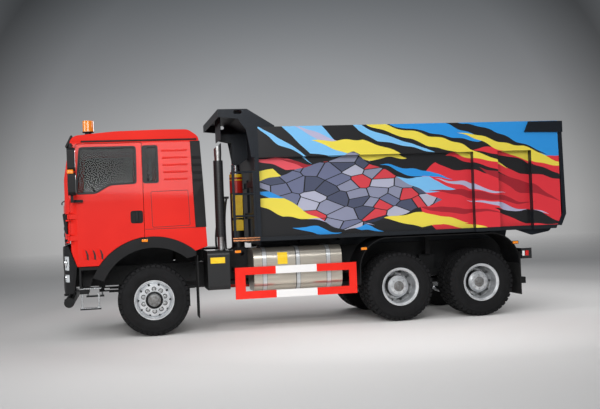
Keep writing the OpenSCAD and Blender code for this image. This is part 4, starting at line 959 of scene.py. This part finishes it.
# Entry steps: treads with rows of teeth on the step box and on the hanging step below it, which two
# flat bars carry. Pressed aluminium, bolted on.
# Tread aluminium: bright milled sheet with a punched pattern 12 mm apart.
tread_metal, tree, shader, spot = begin("punched_aluminium")
punch = add(tree, "TexVoronoi", {"Vector": spot, "Scale": 82.0}, feature="SMOOTH_F1")
skin = add(tree, "Bump", {"Strength": 0.6, "Distance": 0.003, "Height": punch})
tone = add(tree, "ValToRGB", {"Fac": punch}, stops=((0.1, "#C9CBCC"), (0.7, "#8E9193")))
fill(shader, {"Base Color": tone, "Metallic": 1.0, "Roughness": 0.38, "Normal": skin})
merge(block((3.420, 0.960, 0.758), (3.735, 1.214, 0.774), 0.003),
      block((3.425, 1.136, 0.474), (3.735, 1.212, 0.484), 0.003))
keep("step_treads", "chassis", tread_metal, both=True)
merge(*[block((x - 0.0145, 1.1575, 0.466), (x + 0.0145, 1.1870, 0.694), 0.002)
        for x in (3.459, 3.700)])
keep("hanging_step_bars", "chassis", tread_metal, both=True)

# Seats: two air-sprung seats on black steel pedestals, with moulded foam cushions, backs and head
# rests in grey woven cloth. The pads are crowned subdivision forms that replace the CAD solids.
# Seat cloth: hard-wearing charcoal weave with a 3 mm rib and soft sheen.
seat_cloth, tree, shader, spot = begin("woven_seat_cloth")
warp = add(tree, "TexWave", {"Vector": spot, "Scale": 105.0}, bands_direction="X").outputs["Fac"]
weft = add(tree, "TexWave", {"Vector": spot, "Scale": 105.0}, bands_direction="Y").outputs["Fac"]
weave = add(tree, "Math", {0: warp, 1: weft}, operation="MULTIPLY")
tone = add(tree, "ValToRGB", {"Fac": weave}, stops=((0.0, "#232427"), (1.0, "#44464B")))
skin = add(tree, "Bump", {"Strength": 0.35, "Distance": 0.002, "Height": weave})
fill(shader, {"Base Color": tone, "Roughness": 0.9, "Sheen Weight": 0.25, "Normal": skin})


def pad(low, high, pull):
    """A crowned foam form inside a box: its sides pull in between the corners."""
    made = block(low, high)
    edit_all(lambda: bpy.ops.mesh.subdivide(number_cuts=4))
    middle = (Vector(low) + Vector(high)) / 2
    half = (Vector(high) - Vector(low)) / 2

    def crown(p):
        q = [(p[i] - middle[i]) / half[i] for i in range(3)]
        full = [(1 - q[i - 2] ** 2) * (1 - q[i - 1] ** 2) for i in range(3)]
        return Vector([middle[i] + half[i] * q[i] * (1 - pull * (1 - full[i])) for i in range(3)])

    mould(made, crown)
    form = made.modifiers.new("foam", "SUBSURF")
    form.levels = form.render_levels = 2
    bpy.ops.object.modifier_apply(modifier=form.name)
    bpy.ops.object.shade_smooth()


block((2.740, 0.340, 1.556), (3.160, 0.780, 1.700), 0.012)
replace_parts(keep("seat_pedestal", "chassis", chassis_black, both=True)[0], "seats")
for name, low, high in (("cushion", (2.710, 0.310, 1.700), (3.210, 0.810, 1.845)),
                        ("back", (2.630, 0.320, 1.835), (2.765, 0.800, 2.480)),
                        ("head_rest", (2.640, 0.420, 2.482), (2.740, 0.700, 2.640))):
    pad(low, high, 0.16)
    for each in keep("seat_" + name, "chassis", seat_cloth, both=True):
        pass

# Cab lining: padded grey panels on the rear wall, which leans forward, and under the roof. Pressed
# board under knitted cloth, clipped to the shell.
WALL_FOOT, WALL_HEIGHT, WALL_LEAN = 1.570, 1.31, 0.036
rear_pad = block((1.925, -1.130, WALL_FOOT), (1.950, 1.130, 2.880), 0.010)
mould(rear_pad, lambda p: Vector((p.x + WALL_LEAN * (p.z - WALL_FOOT) / WALL_HEIGHT, p.y, p.z)))
roof_pad = block((2.050, -1.060, 2.965), (3.560, 1.060, 2.985), 0.008)
merge(rear_pad, roof_pad)
keep("cab_lining", "chassis", seat_cloth)

# Dashboard: one moulding across the cab with the steering column, screwed to the bulkhead. It is
# carried over from the CAD model.
# Dashboard plastic: soft-touch grey moulding with a fine grain of 2 mm.
dash_plastic, tree, shader, spot = begin("soft_touch_plastic")
pebble = add(tree, "TexVoronoi", {"Vector": spot, "Scale": 500.0})
cloud = add(tree, "TexNoise", {"Vector": spot, "Scale": 5.0})
tone = add(tree, "ValToRGB", {"Fac": cloud}, stops=((0.3, "#2B2C2E"), (0.7, "#38393B")))
skin = add(tree, "Bump", {"Strength": 0.15, "Distance": 0.0006, "Height": pebble})
fill(shader, {"Base Color": tone, "Roughness": 0.6, "Normal": skin})
coat(dash_plastic, "dashboard")

# Bed: welded steel plate body in dark slate with box-section posts and rails, a cab shield, a
# ladder and a tailgate hung from its upper corners. The inside is scuffed by loads.
# Slate bed paint: blue-black and satin, scuffed to grey in streaks 330 mm long and 30 mm wide, with
# a fine grain of 4 mm.
bed_slate, tree, shader, spot = begin("slate_bed_paint")
slide = add(tree, "Mapping", {"Vector": spot, "Scale": (0.6, 6.0, 3.0)})
scuff = add(tree, "TexNoise", {"Vector": slide, "Scale": 5.0, "Detail": 6.0, "Roughness": 0.7})
tone = add(tree, "ValToRGB", {"Fac": scuff},
           stops=((0.3, "#0F151C"), (0.62, "#141B24"), (0.85, "#1F2731")))
rounded = add(tree, "Bevel", {"Radius": 0.008}, samples=4)
fine = add(tree, "TexNoise", {"Vector": spot, "Scale": 240.0, "Detail": 1.0})
skin = add(tree, "Bump", {"Strength": 0.05, "Distance": 0.001, "Height": fine, "Normal": rounded})
fill(shader, {"Base Color": tone, "Roughness": 0.5, "Specular IOR Level": 0.25, "Coat Weight": 0.08,
              "Coat Roughness": 0.25, "Normal": skin})
coat(bed_slate, "bed_floor", "bed_front", "cab_shield", "ladder", "tailgate")

# Tailgate ribs: five folded channels between two cross channels that stiffen the tailgate. Steel,
# welded to its outer face and leaning with it.
GATE_FOOT, GATE_HEIGHT, GATE_LEAN = 1.580, 1.5, 0.023
parts = [block((-4.043, y - 0.045, 1.640), (-4.015, y + 0.045, 3.030), 0.008)
         for y in (-0.90, -0.45, 0.0, 0.45, 0.90)]
parts += [block((-4.046, -1.180, z), (-4.012, 1.180, z + 0.090), 0.010) for z in (1.610, 2.960)]
ribs = merge(*parts)
mould(ribs, lambda p: Vector((p.x + GATE_LEAN * (p.z - GATE_FOOT) / GATE_HEIGHT, p.y, p.z)))
keep("tailgate_ribs", "gate", bed_slate)

# Livery: printed vinyl film glued over the bed's sides. Slender shards lean along it, black, yellow
# and blue at the front and red at the rear, round a field of grey crystals with dark outlines.
AZURE, PALE_BLUE, YELLOW, BLACK = "#2796E4", "#7CC3F4", "#F1DE4E", "#17171A"
RED, CORAL, DARK_RED, LILAC = "#E5303C", "#EE5561", "#A81C2B", "#B9B6D4"
INSIDE_FROM, SILL_TOP, OUTLINE = 1.104, 1.412, 0.035
# Livery film: flat bright inks under a half-gloss laminate. The shards' edges wander in waves of
# 300 mm, and the crystals are about 290 by 160 mm. The inside and the post flanks stay slate.
livery, tree, shader, spot = begin("printed_livery_film")
axes = add(tree, "SeparateXYZ", {"Vector": spot}).outputs
flat = add(tree, "CombineXYZ", {"X": axes["X"], "Y": axes["Z"]})
tear = add(tree, "TexNoise", {"Vector": flat, "Scale": 3.2, "Detail": 0.0}, noise_dimensions="2D")
tear_by = add(tree, "MapRange", {"Value": tear, "To Min": -0.045, "To Max": 0.045})
tear_way = add(tree, "CombineXYZ", {"Y": tear_by})
torn = add(tree, "VectorMath", {0: flat, 1: tear_way}, operation="ADD")


def leaning(x, z, long_half, wide_half, tilt):
    """The torn film's coordinates about a place, in half lengths along and half widths across."""
    return add(tree, "Mapping", {"Vector": torn, "Location": (x, z, 0),
                                 "Rotation": (0, 0, math.radians(tilt)),
                                 "Scale": (long_half, wide_half, 1)}, vector_type="TEXTURE")


def shard(*place):
    """1 inside a leaning lozenge of the film and 0 outside it."""
    folded = add(tree, "VectorMath", {0: leaning(*place)}, operation="ABSOLUTE")
    edge = add(tree, "VectorMath", {0: folded, 1: (1, 1, 0)}, operation="DOT_PRODUCT")
    return add(tree, "Math", {0: edge, 1: 1.0}, operation="LESS_THAN")


rear_far = add(tree, "VectorMath", {0: leaning(-3.6, 1.55, 2.1, 1.05, 16)}, operation="LENGTH")
rear_on = add(tree, "Math", {0: rear_far, 1: 1.0}, operation="LESS_THAN")
layer = add(tree, "Mix", {MIX: rear_on, UNDER: linear(BLACK), OVER: linear(RED)}, data_type="RGBA")
# Each shard: middle along and up the bed, half length, half width, lean in degrees, colour.
for x, z, long_half, wide_half, tilt, code in (
        (-2.60, 3.14, 2.60, 0.36, 4, AZURE), (-3.55, 2.80, 1.10, 0.30, 10, AZURE),
        (-0.95, 2.98, 0.95, 0.15, 22, PALE_BLUE), (0.10, 2.88, 0.62, 0.24, 24, PALE_BLUE),
        (-0.16, 2.84, 0.70, 0.07, 24, LILAC), (0.66, 2.86, 0.62, 0.045, 33, PALE_BLUE),
        (-0.62, 2.72, 0.80, 0.15, 12, YELLOW), (-1.55, 2.86, 1.30, 0.12, 17, BLACK),
        (-1.98, 2.76, 1.75, 0.095, 17, YELLOW), (-2.75, 2.88, 1.05, 0.10, 19, BLACK),
        (-3.30, 2.60, 1.15, 0.09, 18, YELLOW), (-2.20, 2.46, 1.00, 0.09, 15, BLACK),
        (-3.35, 2.38, 0.95, 0.10, 19, BLACK), (-1.55, 2.34, 0.62, 0.06, 12, AZURE),
        (-1.72, 2.14, 0.55, 0.12, 15, PALE_BLUE), (-2.45, 2.08, 0.62, 0.045, 14, LILAC),
        (-2.62, 1.92, 0.90, 0.07, 9, DARK_RED), (-3.25, 2.08, 0.75, 0.10, 22, DARK_RED),
        (-3.05, 1.72, 0.70, 0.05, 12, LILAC), (-2.15, 1.72, 0.80, 0.05, 7, DARK_RED),
        (-3.40, 1.56, 0.62, 0.11, 12, BLACK), (-1.62, 1.58, 0.78, 0.13, 5, YELLOW),
        (-2.30, 1.46, 0.50, 0.05, 6, YELLOW), (0.55, 2.52, 0.72, 0.07, 12, CORAL),
        (0.05, 2.44, 0.62, 0.05, 14, DARK_RED), (0.80, 2.28, 0.52, 0.17, 11, YELLOW),
        (0.92, 2.16, 0.34, 0.06, 15, BLACK), (0.74, 2.02, 0.34, 0.07, 15, AZURE),
        (0.60, 1.84, 0.72, 0.13, 16, YELLOW), (0.78, 1.72, 0.40, 0.05, 18, BLACK),
        (0.10, 1.47, 0.40, 0.06, 9, AZURE), (-0.62, 1.50, 0.36, 0.05, 10, AZURE),
        (-0.28, 1.60, 0.55, 0.04, 8, LILAC)):
    layer = add(tree, "Mix", {MIX: shard(x, z, long_half, wide_half, tilt), UNDER: layer,
                              OVER: linear(code)}, data_type="RGBA")
cell_map = add(tree, "Mapping", {"Vector": flat, "Rotation": (0, 0, math.radians(-24)),
                                 "Scale": (3.4, 6.2, 1)})
cell = add(tree, "TexVoronoi", {"Vector": cell_map, "Scale": 1.0}, voronoi_dimensions="2D")
rim_of = add(tree, "TexVoronoi", {"Vector": cell_map, "Scale": 1.0}, voronoi_dimensions="2D",
             feature="DISTANCE_TO_EDGE")
pick = add(tree, "SeparateColor", {"Color": cell.outputs["Color"]})
facet = add(tree, "ValToRGB", {"Fac": pick.outputs["Red"]}, steps=True,
            stops=((0.0, "#4A5068"), (0.18, "#8C90A8"), (0.38, "#B4B6CA"), (0.54, "#6C7290"),
                   (0.68, "#D8404A"), (0.86, "#2A3048")))
line = add(tree, "Math", {0: rim_of.outputs["Distance"], 1: OUTLINE}, operation="LESS_THAN")
outlined = add(tree, "Mix", {MIX: line, UNDER: facet, OVER: linear(BLACK)}, data_type="RGBA")
field = shard(-0.42, 2.06, 1.55, 0.62, 7)
printed = add(tree, "Mix", {MIX: field, UNDER: layer, OVER: outlined}, data_type="RGBA")
apart = add(tree, "Math", {0: axes["Y"]}, operation="ABSOLUTE")
within = add(tree, "Math", {0: apart, 1: INSIDE_FROM}, operation="LESS_THAN")
sill = add(tree, "Math", {0: axes["Z"], 1: SILL_TOP}, operation="LESS_THAN")
facing = add(tree, "NewGeometry", {})
way_of = add(tree, "SeparateXYZ", {"Vector": facing.outputs["True Normal"]})
sideways = add(tree, "Math", {0: way_of.outputs["Y"]}, operation="ABSOLUTE")
flank = add(tree, "Math", {0: sideways, 1: 0.5}, operation="LESS_THAN")
bare_in = add(tree, "Math", {0: within, 1: sill}, operation="MAXIMUM")
bare = add(tree, "Math", {0: bare_in, 1: flank}, operation="MAXIMUM")
tone = add(tree, "Mix", {MIX: bare, UNDER: printed, OVER: linear("#10161D")}, data_type="RGBA")
rounded = add(tree, "Bevel", {"Radius": 0.006}, samples=4)
fill(shader, {"Base Color": tone, "Roughness": 0.4, "Specular IOR Level": 0.35, "Coat Weight": 0.3,
              "Coat Roughness": 0.1, "Normal": rounded})
coat(livery, "bed_sides")

# Hoist: a telescopic ram behind the cab, a red outer tube with yellow bands and blank plates, and
# ground, hard-chromed stages. The plates are thin sheet, screwed to a strap round the tube.
BANDS_FROM, BANDS_TO = 1.0, 2.5
# Hoist enamel: dark red, black at the foot, with yellow bands sprayed round the collar and a sheen
# that changes in patches of 80 mm.
hoist_paint, tree, shader, spot = begin("banded_hoist_enamel")
axes = add(tree, "SeparateXYZ", {"Vector": spot}).outputs
run = add(tree, "MapRange", {"Value": axes["Z"], "From Min": BANDS_FROM, "From Max": BANDS_TO})
bands = add(tree, "ValToRGB", {"Fac": run}, steps=True,
            stops=((0.0, "#191A1C"), (0.70, "#191A1C"), (0.753, "#C0241C"), (0.887, "#F0C01A"),
                   (0.902, "#8E1C18"), (0.925, "#F0C01A"), (0.965, "#B9BBBD")))
fade = add(tree, "TexNoise", {"Vector": spot, "Scale": 12.0, "Detail": 3.0})
dull = add(tree, "MapRange", {"Value": fade, "To Min": 0.24, "To Max": 0.44})
fill(shader, {"Base Color": bands, "Roughness": dull, "Coat Weight": 0.4})
coat(hoist_paint, "hoist_tube")
# Hard chrome: ground round the rod, mirror bright with fine rings 1.4 mm apart.
chrome, tree, shader, spot = begin("hard_chrome")
grind = add(tree, "Mapping", {"Vector": spot, "Scale": (1.0, 1.0, 700.0)})
rings = add(tree, "TexNoise", {"Vector": grind, "Scale": 1.0, "Detail": 1.0})
dull = add(tree, "MapRange", {"Value": rings, "To Min": 0.06, "To Max": 0.2})
fill(shader, {"Base Color": linear("#D2D5D8"), "Metallic": 1.0, "Roughness": dull})
coat(chrome, "hoist_stage_1", "hoist_stage_2", "hoist_stage_3")
for name, low, high in (("upper", 1.720, 2.120), ("lower", 1.510, 1.690)):
    panel(round_corners(at_y(0.112, rectangle(1.125, 1.300, low, high)), 0.014), (0, 0.004, 0))
    soften(0.001, 1)
    keep("blank_plate_hoist_" + name, "hoist_barrel", yellow_film)

# Grease lines: two bright copper pipes across the foot of the ladder that feed the bed's pins.
# Drawn tube, clipped to the ladder's stiles.
# Drawn copper: warm and smooth, dulled to brown in patches of 45 mm.
copper, tree, shader, spot = begin("drawn_copper")
tarnish = add(tree, "TexNoise", {"Vector": spot, "Scale": 22.0, "Detail": 4.0})
tone = add(tree, "ValToRGB", {"Fac": tarnish}, stops=((0.3, "#B4754C"), (0.7, "#E0A277")))
fill(shader, {"Base Color": tone, "Metallic": 0.9, "Roughness": 0.34})
merge(*[turned([(0.0, -0.205), (0.011, -0.205), (0.012, -0.200), (0.012, 0.200), (0.011, 0.205),
                (0.0, 0.205)], 16, turn=(0, 0, math.pi / 2), at=(1.232, 1.226, z))
        for z in (1.374, 1.410)])
keep("grease_lines", "bed", copper)

# Hoist pipes: three black-sheathed pressure pipes held upright behind the cab, from the rail to a
# cross clamp on a flat stand. Each is a bevelled curve, turned to a mesh.
PIPES, PIPE_R = 3, 0.0165
parts = []
for k in range(PIPES):
    bpy.ops.object.select_all(action="DESELECT")
    bpy.ops.curve.primitive_bezier_curve_add()
    pipe = bpy.context.object
    low, high = pipe.data.splines[0].bezier_points
    low.co, low.handle_left = (1.470 + 0.05 * k, 0.500, 1.050), (1.470, 0.5, 0.80)
    low.handle_right = (1.400 + 0.05 * k, 0.56, 1.40)
    high.co, high.handle_left = (1.445 + 0.045 * k, 0.640, 2.060), (1.52 + 0.03 * k, 0.66, 1.75)
    high.handle_right = (1.40, 0.62, 2.3)
    pipe.data.bevel_depth, pipe.data.bevel_resolution = PIPE_R, 4
    pipe.data.resolution_u, pipe.data.use_fill_caps = 24, True
    bpy.ops.object.convert(target="MESH")
    parts.append(bpy.context.object)
parts.append(block((1.415, 0.610, 2.030), (1.565, 0.670, 2.066), 0.006))
parts.append(block((1.480, 0.430, 1.045), (1.500, 0.660, 1.075), 0.004))
parts.append(block((1.480, 0.632, 1.045), (1.500, 0.652, 2.040), 0.004))
merge(*parts)
keep("hoist_pipes", "chassis", seal_rubber)
